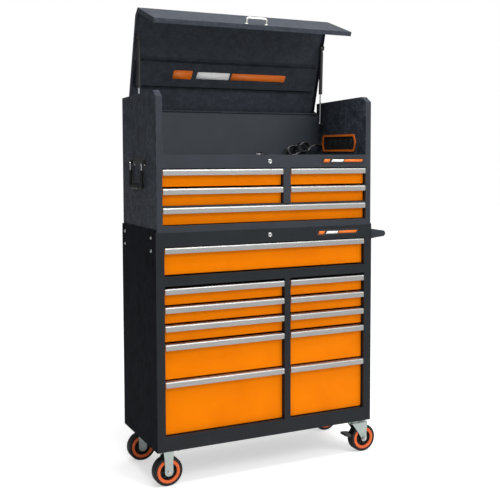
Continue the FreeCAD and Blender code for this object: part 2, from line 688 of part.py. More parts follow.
def side_handle_bail():
    x, y, z = BAIL_X, BAIL_Y, BAIL_Z
    low = z - BAIL_DROP
    path = [(x, y - 94, z), (x, y - BAIL_HALF, z), (x, y - BAIL_HALF, low), (x, y + BAIL_HALF, low),
            (x, y + BAIL_HALF, z), (x, y + 94, z)]
    bail = tube(path, 4.0, 0.4, 18.0)
    grip = ring((x, y - 52, low), (x, y + 52, low), 10, 4)
    return group([bail, grip])


# ---- casters ------------------------------------------------------------------------------------------
PLATE_T = 4.0
PLATE_HALF = 50.0
RACE_TOP = CASTER_H - PLATE_T
RACE_R = 27.0
KING_R = 8.0
RIM_R = 50.0
HUB_R = 37.0


def caster_plates():
    """Four mounting plates with their bolts, and the swivel casters' king pins."""
    solids = []
    for x in (-CASTER_X, CASTER_X):
        for y in WHEEL_Y:
            solids.append(box(x - PLATE_HALF, x + PLATE_HALF, y - 42, y + 42, RACE_TOP, CASTER_H))
            for dx in (-40, 40):
                for dy in (-34, 34):
                    solids.append(rod((x + dx, y + dy, RACE_TOP), (x + dx, y + dy, RACE_TOP - 5), 6.5))
            if x > 0:
                pin = rod((x, y, RACE_TOP), (x, y, RACE_TOP - 18), KING_R)
                solids.append(pin.fuse(rod((x, y, RACE_TOP - 18), (x, y, RACE_TOP - 22), 11)))
    return group(solids)


def leg_outline(x, top_left, top_right, top, r):
    """A fork leg: straight sides that close in to a round end of radius r about the axle."""
    ax, az = x, WHEEL_R
    return [(top_left, top), (top_right, top), (ax + r, az + 10), (ax + r * 0.87, az - r * 0.5), (ax + r * 0.5, az - r * 0.87),
            (ax, az - r), (ax - r * 0.5, az - r * 0.87), (ax - r * 0.87, az - r * 0.5), (ax - r, az + 4)]


def fork(x, y, top_left, top_right, top, foot_r):
    """Two legs, the axle bolt through them, and its two heads."""
    line = leg_outline(x, top_left, top_right, top, foot_r)
    solids = []
    for s in (-1, 1):
        y0, y1 = sorted((y + s * FORK_GAP, y + s * (FORK_GAP + FORK_T)))
        leg = prism_y(line, y0, y1).cut(rod((x, y0 - 1, WHEEL_R), (x, y1 + 1, WHEEL_R), AXLE_R))
        solids.append(leg)
        out = y + s * (FORK_GAP + FORK_T)
        solids.append(rod((x, out + s * HEAD_GAP, WHEEL_R), (x, out + s * (HEAD_GAP + 5), WHEEL_R), 8.5))
    reach = FORK_GAP + FORK_T + HEAD_GAP
    solids.append(rod((x, y - reach, WHEEL_R), (x, y + reach, WHEEL_R), AXLE_R))
    return solids


HEAD_GAP = 4.0          # room under the axle's heads, where a swivel caster's brake pedal turns


def rigid_forks():
    solids = []
    for y in WHEEL_Y:
        x = -CASTER_X
        solids.append(box(x - 32, x + 32, y - FORK_GAP - FORK_T, y + FORK_GAP + FORK_T, RACE_TOP - 3, RACE_TOP))
        solids += fork(x, y, x - 24, x + 23, RACE_TOP - 3, 19.0)
    return group(solids)


def swivel_fork(y):
    x = CASTER_X
    crown = RACE_TOP - 14
    reach = FORK_GAP + FORK_T
    bridge = box(x - 26, x + 64, y - reach, y + reach, crown - 3, crown)
    bridge = bridge.cut(rod((x, y, crown - 4), (x, y, crown + 1), KING_R + RUN))
    race = ring((x, y, crown), (x, y, RACE_TOP - 0.4), RACE_R, KING_R + RUN)
    return group([bridge, race] + fork(x + TRAIL, y, x - 20, x + 64, crown - 3, 14.0))


def wheel(x, y):
    """A tyre with a rounded tread, the rim ring inside it and the bored hub."""
    half = WHEEL_W / 2
    tyre = rod((x, y - half, WHEEL_R), (x, y + half, WHEEL_R), WHEEL_R)
    rims = [e for e in tyre.Edges if e.Curve.TypeId == "Part::GeomCircle"]
    tyre = tyre.makeFillet(8.0, rims).cut(rod((x, y - half, WHEEL_R), (x, y + half, WHEEL_R), RIM_R))
    rim = ring((x, y - half - 0.5, WHEEL_R), (x, y + half + 0.5, WHEEL_R), RIM_R, HUB_R)
    hub = ring((x, y - half + 2, WHEEL_R), (x, y + half - 2, WHEEL_R), HUB_R, 14)
    boss = ring((x, y - half - 1, WHEEL_R), (x, y + half + 1, WHEEL_R), 14, AXLE_R + RUN)
    return group([tyre, rim, hub, boss])


def brake_pedal(y):
    """The pedal reaches from the axle, outside the fork's rear leg, to a tread plate in front of the wheel."""
    x = CASTER_X + TRAIL
    y0 = y + FORK_GAP + FORK_T + 0.4
    y1 = y0 + 3.0
    z = WHEEL_R
    arm = prism_y([(x + 12, z - 9), (x + 12, z + 9), (x - 68, z + 28), (x - 94, z + 30), (x - 94, z + 18), (x - 68, z + 14),
                   (x - 10, z - 9)], y0, y1)
    arm = arm.cut(rod((x, y0 - 1, z), (x, y1 + 1, z), AXLE_R + RUN))
    tread = prism_y([(x - 68, z + 14), (x - 68, z + 28), (x - 94, z + 30), (x - 96, z + 20)], y - 22, y0)
    return group([arm.fuse(tread).removeSplitter()])


# ---- build --------------------------------------------------------------------------------------------
def build():
    nodes = {
        "cabinet_sides": cabinet_sides(), "back_panels": back_panels(), "cabinet_base": cabinet_base(),
        "cabinet_deck": cabinet_deck(), "cabinet_front_frame": cabinet_front_frame(),
        "column_dividers": column_dividers(), "chest_sides": chest_sides(), "chest_base": chest_base(),
        "chest_tray": chest_tray(), "chest_front_frame": chest_front_frame(), "drawer_slides": drawer_slides(),
        "power_strip": power_strip(), "power_strip_bezel": power_strip_bezel(), "power_switch": power_switch(),
        "power_cord": power_cord(), "cord_hank": cord_hank(), "cord_plug": cord_plug(),
        "push_handle_bar": push_handle_bar(), "push_handle_mounts": push_handle_mounts(),
        "side_handle_plates": side_handle_plates(), "caster_plates": caster_plates(), "rigid_forks": rigid_forks(),
        "chest_strut_brackets": chest_strut_brackets(), "chest_hinge": chest_hinge(),
        "lid_shell": lid_shell(), "lid_stiffener": lid_stiffener(), "lid_pull": lid_pull(),
        "lid_brackets": lid_brackets(),
        "chest_lock": lock_cylinder(CHEST_LOCK_Z), "cabinet_lock": lock_cylinder(CAB_LOCK_Z),
        "side_handle_right": side_handle_bail(), "side_handle_left": mirrored(side_handle_bail()),
    }
    for side, x in (("left", -STRUT_X), ("right", STRUT_X)):
        nodes["strut_rod_" + side] = strut_rod(x)
        nodes["strut_cylinder_" + side] = strut_cylinder(x)
    for place, y in zip(("front", "rear"), WHEEL_Y):
        nodes["swivel_fork_" + place] = swivel_fork(y)
        nodes["brake_pedal_" + place] = brake_pedal(y)
        nodes["wheel_left_" + place] = wheel(-CASTER_X, y)
        nodes["wheel_right_" + place] = wheel(CASTER_X + TRAIL, y)
    for name, x0, x1, z0, z1 in DRAWERS:
        nodes[name] = drawer(x0, x1, z0, z1)
    return nodes


def centre_shift(nodes):
    """The move that puts the origin on the floor under the middle of the bounding box."""
    whole = group([s for name, s in nodes.items() if not name.startswith(("power_cord", "cord_"))])
    bb = whole.optimalBoundingBox(False)
    return V(-(bb.XMin + bb.XMax) / 2, -(bb.YMin + bb.YMax) / 2, 0), bb


NODES = build()
SHIFT, BOUNDS = centre_shift(NODES)

os.makedirs("parts", exist_ok=True)
for node_name, node_shape in NODES.items():
    node_shape.translate(SHIFT)
    node_shape.exportStep("parts/%s.step" % node_name)
print("nodes", len(NODES), "shift", tuple(round(c, 4) for c in SHIFT), "size", BOUNDS.XLength, BOUNDS.YLength, BOUNDS.ZMax)
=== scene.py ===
"""Looks of the rolling tool chest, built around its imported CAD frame. Everything is in metres in the frame's own
axes; the design's millimetres, measured from the cabinet's middle, front and floor, go through at()."""
import math

import bmesh
import bpy
from mathutils import Matrix, Vector


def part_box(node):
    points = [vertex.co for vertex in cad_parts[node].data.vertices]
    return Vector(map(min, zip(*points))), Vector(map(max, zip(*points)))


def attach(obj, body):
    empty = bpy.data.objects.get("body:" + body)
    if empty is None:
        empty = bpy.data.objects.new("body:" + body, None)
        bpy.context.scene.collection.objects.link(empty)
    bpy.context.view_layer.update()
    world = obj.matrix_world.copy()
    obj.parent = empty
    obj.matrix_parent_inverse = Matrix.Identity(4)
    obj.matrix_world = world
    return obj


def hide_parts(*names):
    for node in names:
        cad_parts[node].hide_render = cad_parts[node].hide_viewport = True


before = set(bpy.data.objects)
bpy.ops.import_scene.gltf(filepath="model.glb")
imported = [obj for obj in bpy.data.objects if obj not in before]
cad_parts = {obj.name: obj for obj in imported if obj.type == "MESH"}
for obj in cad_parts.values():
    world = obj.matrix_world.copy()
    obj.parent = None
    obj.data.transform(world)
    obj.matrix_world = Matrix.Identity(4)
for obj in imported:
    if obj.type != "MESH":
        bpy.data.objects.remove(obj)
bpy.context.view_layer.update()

MM = 0.001
SIDES_LO, SIDES_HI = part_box("cabinet_sides")
MIDDLE_X = (SIDES_LO.x + SIDES_HI.x) / 2
FRONT = SIDES_LO.y


def at(x, y, z):
    """A point of the design, in millimetres, as a point of the frame."""
    return Vector((MIDDLE_X + x * MM, FRONT + y * MM, z * MM))


def link_object(name, data):
    obj = bpy.data.objects.new(name, data)
    bpy.context.scene.collection.objects.link(obj)
    return obj


# ---- camera -------------------------------------------------------------------------------------------
def make_camera():
    data = bpy.data.cameras.new("camera")
    data.sensor_width = 36.0
    data.lens = 63.15
    data.shift_x = -0.0698
    data.shift_y = -0.08
    obj = link_object("camera", data)
    obj.location = at(-1672.45, -3408.18, 1403.43)
    yaw, pitch = 27.112, -3.72
    obj.rotation_euler = (math.radians(90 + pitch), 0, math.radians(-yaw))
    bpy.context.scene.camera = obj


make_camera()


# ---- materials ----------------------------------------------------------------------------------------
class Paint:
    """One Principled material with small helpers for the patterns that drive its sockets."""

    def __init__(self, name, color, roughness, metallic=0.0, specular=0.5):
        self.material = bpy.data.materials.new(name)
        self.material.use_nodes = True
        self.tree = self.material.node_tree
        self.shader = self.tree.nodes["Principled BSDF"]
        self.color = color
        self.set("Base Color", (*color, 1))
        self.set("Roughness", roughness)
        self.set("Metallic", metallic)
        self.set("Specular IOR Level", specular)
        self.place = self.tree.nodes.new("ShaderNodeTexCoord").outputs["Object"]

    def set(self, socket, value):
        self.shader.inputs[socket].default_value = value

    def noise(self, scale, detail, stretch=(1, 1, 1), rough=0.5):
        nodes, links = self.tree.nodes, self.tree.links
        mapping = nodes.new("ShaderNodeMapping")
        mapping.inputs["Scale"].default_value = stretch
        links.new(self.place, mapping.inputs["Vector"])
        tex = nodes.new("ShaderNodeTexNoise")
        tex.inputs["Scale"].default_value = scale
        tex.inputs["Detail"].default_value = detail
        tex.inputs["Roughness"].default_value = rough
        links.new(mapping.outputs["Vector"], tex.inputs["Vector"])
        return tex.outputs["Fac"]

    def ramp(self, value, low, high, to_low, to_high):
        node = self.tree.nodes.new("ShaderNodeMapRange")
        for socket, number in (("From Min", low), ("From Max", high), ("To Min", to_low), ("To Max", to_high)):
            node.inputs[socket].default_value = number
        self.tree.links.new(value, node.inputs["Value"])
        return node.outputs["Result"]

    def mottle(self, value, other, low, high):
        """The base colour goes to the other colour while the value goes from low to high."""
        mix = self.tree.nodes.new("ShaderNodeMix")
        mix.data_type = "RGBA"
        color_in = [s for s in mix.inputs if s.type == "RGBA"]
        color_out = next(s for s in mix.outputs if s.type == "RGBA")
        self.tree.links.new(self.ramp(value, low, high, 0, 1), mix.inputs["Factor"])
        old = self.shader.inputs["Base Color"]
        if old.is_linked:
            self.tree.links.new(old.links[0].from_socket, color_in[0])
        else:
            color_in[0].default_value = (*self.color, 1)
        color_in[1].default_value = (*other, 1)
        self.tree.links.new(color_out, self.shader.inputs["Base Color"])
        return self

    def vary_roughness(self, value, low, high):
        self.tree.links.new(self.ramp(value, 0.3, 0.7, low, high), self.shader.inputs["Roughness"])
        return self

    def bump(self, value, distance):
        node = self.tree.nodes.new("ShaderNodeBump")
        node.inputs["Distance"].default_value = distance
        node.inputs["Strength"].default_value = 1.0
        self.tree.links.new(value, node.inputs["Height"])
        self.tree.links.new(node.outputs["Normal"], self.shader.inputs["Normal"])
        return self


def textured_coat(name, color, light, specular):
    """Dark grey powder coat with a sandy, mottled texture."""
    p = Paint(name, color, 0.55, specular=specular)
    grain = p.noise(62, 6, rough=0.85)
    p.mottle(grain, light, 0.47, 0.62)
    p.mottle(p.noise(24, 4), tuple(0.75 * c for c in color), 0.45, 0.75)
    p.vary_roughness(grain, 0.48, 0.68)
    return p.bump(grain, 0.0012).material


def smooth_coat(name, color, specular=0.32):
    """Dark grey powder coat with a fine, even texture."""
    p = Paint(name, color, 0.47, specular=specular)
    p.mottle(p.noise(9, 3), tuple(1.18 * c for c in color), 0.4, 0.7)
    p.vary_roughness(p.noise(14, 4), 0.40, 0.54)
    return p.bump(p.noise(900, 2), 0.0002).material


def orange_coat():
    """Glossy orange powder coat with a slight orange peel."""
    p = Paint("orange_coat", (0.95, 0.225, 0.0012), 0.34, specular=0.35)
    p.set("Specular Tint", (1.0, 0.42, 0.02, 1))
    p.mottle(p.noise(7, 3), (0.88, 0.195, 0.001), 0.4, 0.75)
    p.vary_roughness(p.noise(40, 3), 0.28, 0.40)
    return p.bump(p.noise(330, 2), 0.00025).material


def brushed_aluminium():
    """Aluminium brushed along X, with fine dark specks."""
    p = Paint("brushed_aluminium", (0.50, 0.50, 0.485), 0.40, metallic=1.0)
    lines = p.noise(1.0, 5, stretch=(14, 900, 900), rough=0.8)
    p.mottle(lines, (0.36, 0.36, 0.355), 0.38, 0.66)
    p.mottle(p.noise(210, 3, stretch=(0.5, 2, 2), rough=0.7), (0.27, 0.265, 0.255), 0.60, 0.72)
    p.vary_roughness(lines, 0.34, 0.52)
    return p.bump(lines, 0.00012).material


def zinc_plate():
    p = Paint("zinc_plate", (0.47, 0.54, 0.52), 0.42, metallic=1.0)
    p.mottle(p.noise(38, 4), (0.38, 0.44, 0.43), 0.45, 0.8)
    p.vary_roughness(p.noise(90, 3), 0.26, 0.46)
    return p.bump(p.noise(500, 2), 0.00006).material


def chrome():
    p = Paint("chrome", (0.80, 0.81, 0.83), 0.09, metallic=1.0)
    p.mottle(p.noise(30, 3), (0.72, 0.73, 0.75), 0.5, 0.85)
    p.vary_roughness(p.noise(60, 4), 0.06, 0.16)
    return p.bump(p.noise(120, 2), 0.00003).material


def satin_black():
    p = Paint("satin_black", (0.016, 0.017, 0.018), 0.38, specular=0.5)
    p.mottle(p.noise(20, 3), (0.026, 0.027, 0.029), 0.45, 0.8)
    p.vary_roughness(p.noise(50, 3), 0.30, 0.46)
    return p.bump(p.noise(600, 2), 0.00015).material


def black_moulding():
    p = Paint("black_moulding", (0.012, 0.012, 0.013), 0.55, specular=0.4)
    p.mottle(p.noise(30, 3), (0.020, 0.020, 0.021), 0.45, 0.8)
    p.vary_roughness(p.noise(80, 3), 0.45, 0.62)
    return p.bump(p.noise(700, 3), 0.0002).material


def orange_moulding(name="orange_moulding", color=(0.78, 0.17, 0.01)):
    p = Paint(name, color, 0.38, specular=0.4)
    p.mottle(p.noise(18, 3), tuple(0.86 * c for c in color), 0.4, 0.8)
    p.vary_roughness(p.noise(70, 3), 0.32, 0.46)
    return p.bump(p.noise(500, 2), 0.00012).material


def rubber(name, color=(0.006, 0.006, 0.007), dust=(0.014, 0.014, 0.015)):
    p = Paint(name, color, 0.55, specular=0.35)
    p.mottle(p.noise(45, 4), dust, 0.5, 0.8)
    p.vary_roughness(p.noise(60, 3), 0.44, 0.62)
    return p.bump(p.noise(800, 3), 0.0002).material


def cord_vinyl():
    """Black cord jacket, shiny enough to show a line of light along each strand."""
    p = Paint("cord_jacket", (0.010, 0.010, 0.011), 0.22, specular=1.0)
    p.mottle(p.noise(60, 3), (0.022, 0.022, 0.023), 0.45, 0.8)
    p.vary_roughness(p.noise(90, 3), 0.24, 0.40)
    return p.bump(p.noise(700, 3), 0.0001).material


def satin_nickel():
    p = Paint("satin_nickel", (0.88, 0.87, 0.83), 0.38, metallic=1.0)
    p.mottle(p.noise(60, 3), (0.76, 0.75, 0.71), 0.45, 0.8)
    return p.vary_roughness(p.noise(120, 3), 0.32, 0.46).material


def bright_steel():
    p = Paint("bright_steel", (0.66, 0.655, 0.64), 0.24, metallic=1.0)
    p.mottle(p.noise(60, 3), (0.52, 0.51, 0.49), 0.45, 0.8)
    return p.vary_roughness(p.noise(120, 3), 0.18, 0.34).material


def print_ink(name, color):
    p = Paint(name, color, 0.4, specular=0.5)
    p.mottle(p.noise(200, 2), tuple(0.92 * c for c in color), 0.4, 0.7)
    return p.vary_roughness(p.noise(300, 2), 0.35, 0.5).material


TEXTURED = textured_coat("textured_coat", (0.026, 0.031, 0.041), (0.078, 0.091, 0.116), 0.14)
# Lighter copy of the textured coat for the lid: painted light inside the open lid, which the lamps leave in shade.
TEXTURED_LID_PAINTED_LIGHT = textured_coat("lid_coat_painted_light", (0.036, 0.043, 0.056), (0.058, 0.068, 0.086), 0.2)
# Darker copy of the textured coat for the lid's stiffening band: painted shade on what is the lid's own paint.
TEXTURED_BAR_PAINTED_SHADE = textured_coat("stiffener_coat_painted_shade", (0.028, 0.034, 0.043), (0.042, 0.050, 0.064), 0.14)
# Darker copy of the textured coat for the lower cabinet's sides: painted shade for light that falls off towards the
# bottom.
TEXTURED_LOW_PAINTED_SHADE = textured_coat("cabinet_coat_painted_shade", (0.007, 0.009, 0.012), (0.020, 0.023, 0.030), 0.01)
SMOOTH = smooth_coat("smooth_coat", (0.026, 0.031, 0.039), 0.25)
# Lighter copy of the smooth coat for the back panels: painted light on the till's back wall, which sits in shade.
SMOOTH_BACK_PAINTED_LIGHT = smooth_coat("back_coat_painted_light", (0.034, 0.041, 0.051))
# Darker copy of the smooth coat for the lower cabinet's frame: painted shade for light that falls off towards the
# bottom.
SMOOTH_LOW_PAINTED_SHADE = smooth_coat("cabinet_frame_coat_painted_shade", (0.014, 0.017, 0.020), 0.18)
LINER = smooth_coat("liner_coat", (0.019, 0.021, 0.025))
ORANGE = orange_coat()
ALUMINIUM = brushed_aluminium()
ZINC = zinc_plate()
CHROME = chrome()
SATIN = satin_black()
MOULDING = black_moulding()
ORANGE_PLASTIC = orange_moulding()
ORANGE_WHEEL = orange_moulding("orange_wheel", (0.84, 0.14, 0.024))
TYRE = rubber("tyre_rubber")
JACKET = cord_vinyl()
GRIP = rubber("grip_rubber", (0.008, 0.008, 0.009), (0.016, 0.016, 0.017))
STEEL = bright_steel()
NICKEL = satin_nickel()
WHITE_INK = print_ink("white_ink", (0.92, 0.92, 0.91))
ORANGE_INK = print_ink("orange_ink", (0.85, 0.17, 0.004))


# ---- building blocks ----------------------------------------------------------------------------------
def round_edges(obj, width, segments=2, crease=False):
    """Rounded edges and even shading, as modifiers. A crease keeps faces apart where the rounding finds no room."""
    bevel = obj.modifiers.new("round", "BEVEL")
    bevel.width = width
    bevel.segments = segments
    bevel.limit_method = "ANGLE"
    bevel.angle_limit = math.radians(30)
    if crease:
        split = obj.modifiers.new("crease", "EDGE_SPLIT")
        split.split_angle = math.radians(50)
    shade = obj.modifiers.new("shade", "WEIGHTED_NORMAL")
    shade.keep_sharp = True


def piece(name, mesh_data, material, body, width=0.0, segments=2):
    """An object from a bmesh, riding on a body."""
    mesh = bpy.data.meshes.new(name)
    bmesh.ops.recalc_face_normals(mesh_data, faces=mesh_data.faces)
    mesh_data.to_mesh(mesh)
    mesh_data.free()
    mesh.materials.append(material)
    for p in mesh.polygons:
        p.use_smooth = True
    obj = link_object(name, mesh)
    if width:
        round_edges(obj, width, segments)
    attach(obj, body)
    return obj


def add_box(bm, lo, hi):
    corners = [bm.verts.new((x, y, z)) for x in (lo[0], hi[0]) for y in (lo[1], hi[1]) for z in (lo[2], hi[2])]
    for ids in ((0, 1, 3, 2), (4, 6, 7, 5), (0, 4, 5, 1), (2, 3, 7, 6), (0, 2, 6, 4), (1, 5, 7, 3)):
        bm.faces.new([corners[i] for i in ids])


def add_prism(bm, outline, run):
    """A closed outline of 3-D points pushed along run."""
    run = Vector(run)
    near = [bm.verts.new(p) for p in outline]
    far = [bm.verts.new(Vector(p) + run) for p in outline]
    bm.faces.new(near)
    bm.faces.new(far[::-1])
    for i in range(len(near)):
        j = (i + 1) % len(near)
        bm.faces.new((near[i], near[j], far[j], far[i]))


def add_lathe(bm, profile, origin, axis, steps=48):
    """A profile of (distance along the axis, radius) points turned about the axis. Radius 0 closes an end."""
    axis = Vector(axis).normalized()
    side = axis.orthogonal().normalized()
    other = axis.cross(side)
    rings = []
    for along, r in profile:
        middle = Vector(origin) + axis * along
        if r < 1e-7:
            rings.append([bm.verts.new(middle)])
            continue
        turns = [2 * math.pi * k / steps for k in range(steps)]
        rings.append([bm.verts.new(middle + side * (r * math.cos(a)) + other * (r * math.sin(a))) for a in turns])
    for a, b in zip(rings, rings[1:]):
        for k in range(steps):
            j = (k + 1) % steps
            if len(a) == 1 and len(b) == 1:
                continue
            if len(a) == 1:
                bm.faces.new((a[0], b[k], b[j]))
            elif len(b) == 1:
                bm.faces.new((a[k], b[0], a[j]))
            else:
                bm.faces.new((a[k], b[k], b[j], a[j]))
    if profile[0] == profile[-1]:
        bmesh.ops.remove_doubles(bm, verts=rings[0] + rings[-1], dist=1e-7)
        return
    for loop in (rings[0][::-1], rings[-1]):
        if len(loop) > 1:
            bm.faces.new(loop)


def scaled(profile):
    """A lathe profile given in millimetres."""
    return [(a * MM, r * MM) for a, r in profile]


def ring(profile):
    """A lathe profile given in millimetres, closed on itself."""
    return scaled(profile + profile[:1])


def disc(r, length):
    """The lathe profile of a plain cylinder, given in millimetres."""
    return scaled([(0, 0), (0, r), (length, r), (length, 0)])


def arc(cx, cy, r, start, end, steps):
    """Points of an arc, angles in degrees."""
    points = []
    for k in range(steps + 1):
        a = math.radians(start + (end - start) * k / steps)
        points.append((cx + r * math.cos(a), cy + r * math.sin(a)))
    return points


def rounded_rectangle(x0, x1, y0, y1, r, steps=5):
    return (arc(x1 - r, y1 - r, r, 0, 90, steps) + arc(x0 + r, y1 - r, r, 90, 180, steps)
            + arc(x0 + r, y0 + r, r, 180, 270, steps) + arc(x1 - r, y0 + r, r, 270, 360, steps))


def rounded_path(points, r, steps=8):
    """The points of a path whose corners are arcs of radius r."""
    made = [Vector(points[0])]
    for a, b, c in zip(points, points[1:], points[2:]):
        a, b, c = Vector(a), Vector(b), Vector(c)
        u, w = (a - b).normalized(), (c - b).normalized()
        turn = math.pi - u.angle(w)
        cut = r * math.tan(turn / 2)
        centre = b + (u + w).normalized() * (r / math.cos(turn / 2))
        first, last = (b + u * cut - centre).normalized(), (b + w * cut - centre).normalized()
        for k in range(steps + 1):
            made.append(centre + first.slerp(last, k / steps) * r)
    made.append(Vector(points[-1]))
    return made


def rod_piece(name, points, r, material, body, corner=0.0):
    """A round bar along a path, as a bevelled curve."""
    data = bpy.data.curves.new(name, "CURVE")
    data.dimensions = "3D"
    data.bevel_depth = r
    data.bevel_resolution = 7
    data.use_fill_caps = True
    path = rounded_path(points, corner) if corner else [Vector(p) for p in points]
    spline = data.splines.new("POLY")
    spline.points.add(len(path) - 1)
    for point, co in zip(spline.points, path):
        point.co = (*co, 1)
    spline.use_smooth = True
    data.materials.append(material)
    obj = link_object(name, data)
    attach(obj, body)
    return obj


def dress_node(name, material, width):
    """A CAD node that stays: welded, its edges rounded, and given its material."""
    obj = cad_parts[name]
    obj.data.materials.clear()
    obj.data.materials.append(material)
    if "custom_normal" in obj.data.attributes:
        obj.data.attributes.remove(obj.data.attributes["custom_normal"])
    for p in obj.data.polygons:
        p.use_smooth = True
    weld = obj.modifiers.new("weld", "WELD")
    weld.merge_threshold = 1e-5
    flat = obj.modifiers.new("flat", "DECIMATE")
    flat.decimate_type = "DISSOLVE"
    flat.angle_limit = math.radians(0.8)
    round_edges(obj, width, crease=True)


# ---- sheet-metal bodies, which keep their CAD shape ------------------------------------------------------
for node in ("chest_base", "chest_front_frame", "chest_hinge"):
    dress_node(node, SMOOTH, 0.0005)
dress_node("back_panels", SMOOTH_BACK_PAINTED_LIGHT, 0.0005)
for node in ("cabinet_front_frame", "cabinet_deck", "cabinet_base", "column_dividers"):
    dress_node(node, SMOOTH_LOW_PAINTED_SHADE, 0.0005)
for node in ("chest_sides", "chest_tray"):
    dress_node(node, TEXTURED, 0.0004)
dress_node("lid_stiffener", TEXTURED_BAR_PAINTED_SHADE, 0.0004)
dress_node("lid_shell", TEXTURED_LID_PAINTED_LIGHT, 0.0004)
dress_node("cabinet_sides", TEXTURED_LOW_PAINTED_SHADE, 0.0005)
for node in ("drawer_slides", "caster_plates"):
    dress_node(node, ZINC, 0.0004)
for node in ("strut_rod_left", "strut_rod_right"):
    dress_node(node, CHROME, 0.0004)
for node in ("strut_cylinder_left", "strut_cylinder_right", "chest_strut_brackets", "lid_brackets"):
    dress_node(node, SATIN, 0.0005)


# ---- stage --------------------------------------------------------------------------------------------
FLOOR_GLOW = 0.52       # lifts the floor to plain white for the camera alone, so that it lights nothing


def make_stage():
    bm = bmesh.new()
    size = 14.0
    for x, y in ((-size, -size), (size, -size), (size, size), (-size, size)):
        bm.verts.new((x, y, -0.0005))
    bm.faces.new(bm.verts)
    mesh = bpy.data.meshes.new("floor")
    bm.to_mesh(mesh)
    bm.free()
    p = Paint("floor_paint", (0.92, 0.92, 0.92), 0.9, specular=0.0)
    p.set("Emission Color", (1, 1, 1, 1))
    rays = p.tree.nodes.new("ShaderNodeLightPath")
    glow = p.tree.nodes.new("ShaderNodeMath")
    glow.operation = "MULTIPLY"
    glow.inputs[1].default_value = FLOOR_GLOW
    p.tree.links.new(rays.outputs["Is Camera Ray"], glow.inputs[0])
    p.tree.links.new(glow.outputs[0], p.shader.inputs["Emission Strength"])
    mesh.materials.append(p.material)
    link_object("floor", mesh)


def make_world():
    """A white studio, darker on the left, that the camera sees as plain white."""
    world = bpy.data.worlds.new("studio")
    world.use_nodes = True
    bpy.context.scene.world = world
    nodes, links = world.node_tree.nodes, world.node_tree.links
    nodes.clear()
    place = nodes.new("ShaderNodeTexCoord")
    dot = nodes.new("ShaderNodeVectorMath")
    dot.operation = "DOT_PRODUCT"
    dot.inputs[1].default_value = Vector((0.75, -0.45, 0.48)).normalized()
    links.new(place.outputs["Generated"], dot.inputs[0])
    span = nodes.new("ShaderNodeMapRange")
    span.interpolation_type = "SMOOTHSTEP"
    for socket, number in (("From Min", -0.9), ("From Max", 0.9), ("To Min", 0.10), ("To Max", 0.95)):
        span.inputs[socket].default_value = number
    links.new(dot.outputs["Value"], span.inputs["Value"])
    lit = nodes.new("ShaderNodeBackground")
    links.new(span.outputs["Result"], lit.inputs["Strength"])
    seen = nodes.new("ShaderNodeBackground")
    seen.inputs["Color"].default_value = (1, 1, 1, 1)
    rays = nodes.new("ShaderNodeLightPath")
    mix = nodes.new("ShaderNodeMixShader")
    links.new(rays.outputs["Is Camera Ray"], mix.inputs[0])
    links.new(lit.outputs[0], mix.inputs[1])
    links.new(seen.outputs[0], mix.inputs[2])
    out = nodes.new("ShaderNodeOutputWorld")
    links.new(mix.outputs[0], out.inputs[0])


def area_light(name, place, target, size, power):
    data = bpy.data.lights.new(name, "AREA")
    data.shape = "RECTANGLE"
    data.size, data.size_y = size
    data.energy = power
    obj = link_object(name, data)
    obj.location = place
    obj.rotation_euler = (Vector(target) - Vector(place)).to_track_quat("-Z", "Y").to_euler()


make_stage()
make_world()
area_light("key", (1.6, -3.6, 3.4), (0, 0, 0.9), (2.4, 1.6), 62)
area_light("top", (-0.1, -0.9, 3.5), (0, 0, 1.5), (2.2, 1.2), 62)
bpy.context.scene.view_settings.view_transform = "Standard"


# ---- drawers ------------------------------------------------------------------------------------------
PULL_D = 22 * MM
PULL_H = 25 * MM
PULL_T = 1.8 * MM
NOSE_R = 7 * MM
FRONT_DEPTH = 12 * MM
SHEET = 1.2 * MM
SLIDE_ROOM = 12 * MM
BOX_GROW = 2.5 * MM     # how far the opening is wider than the front, on each side
RUNNER_H = 33 * MM
RUNNER_REACH = 5.6 * MM
DRAWERS = [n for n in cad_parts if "_drawer_" in n]


def pull_profile(nose, back, top):
    """The pull's section in Y and Z: grooved top, round nose, and a lip with a beaded edge."""
    groove = 0.5 * MM
    outer = [(back + 3 * MM, top)]
    for k in range(3):
        y = back - (4.5 + 3.5 * k) * MM
        outer += [(y, top), (y - 0.3 * MM, top - groove), (y - 0.9 * MM, top - groove), (y - 1.2 * MM, top)]
    outer += arc(nose + NOSE_R, top - NOSE_R, NOSE_R, 90, 180, 8)
    low = top - PULL_H
    outer += [(nose, low + 1.5 * MM)]
    outer += arc(nose + 1.5 * MM, low + 1.5 * MM, 1.5 * MM, 180, 380, 7)
    outer += [(nose + PULL_T, low + 3.4 * MM)]
    outer += arc(nose + NOSE_R, top - NOSE_R, NOSE_R - PULL_T, 180, 90, 6)
    return outer + [(back + 3 * MM, top - PULL_T)]


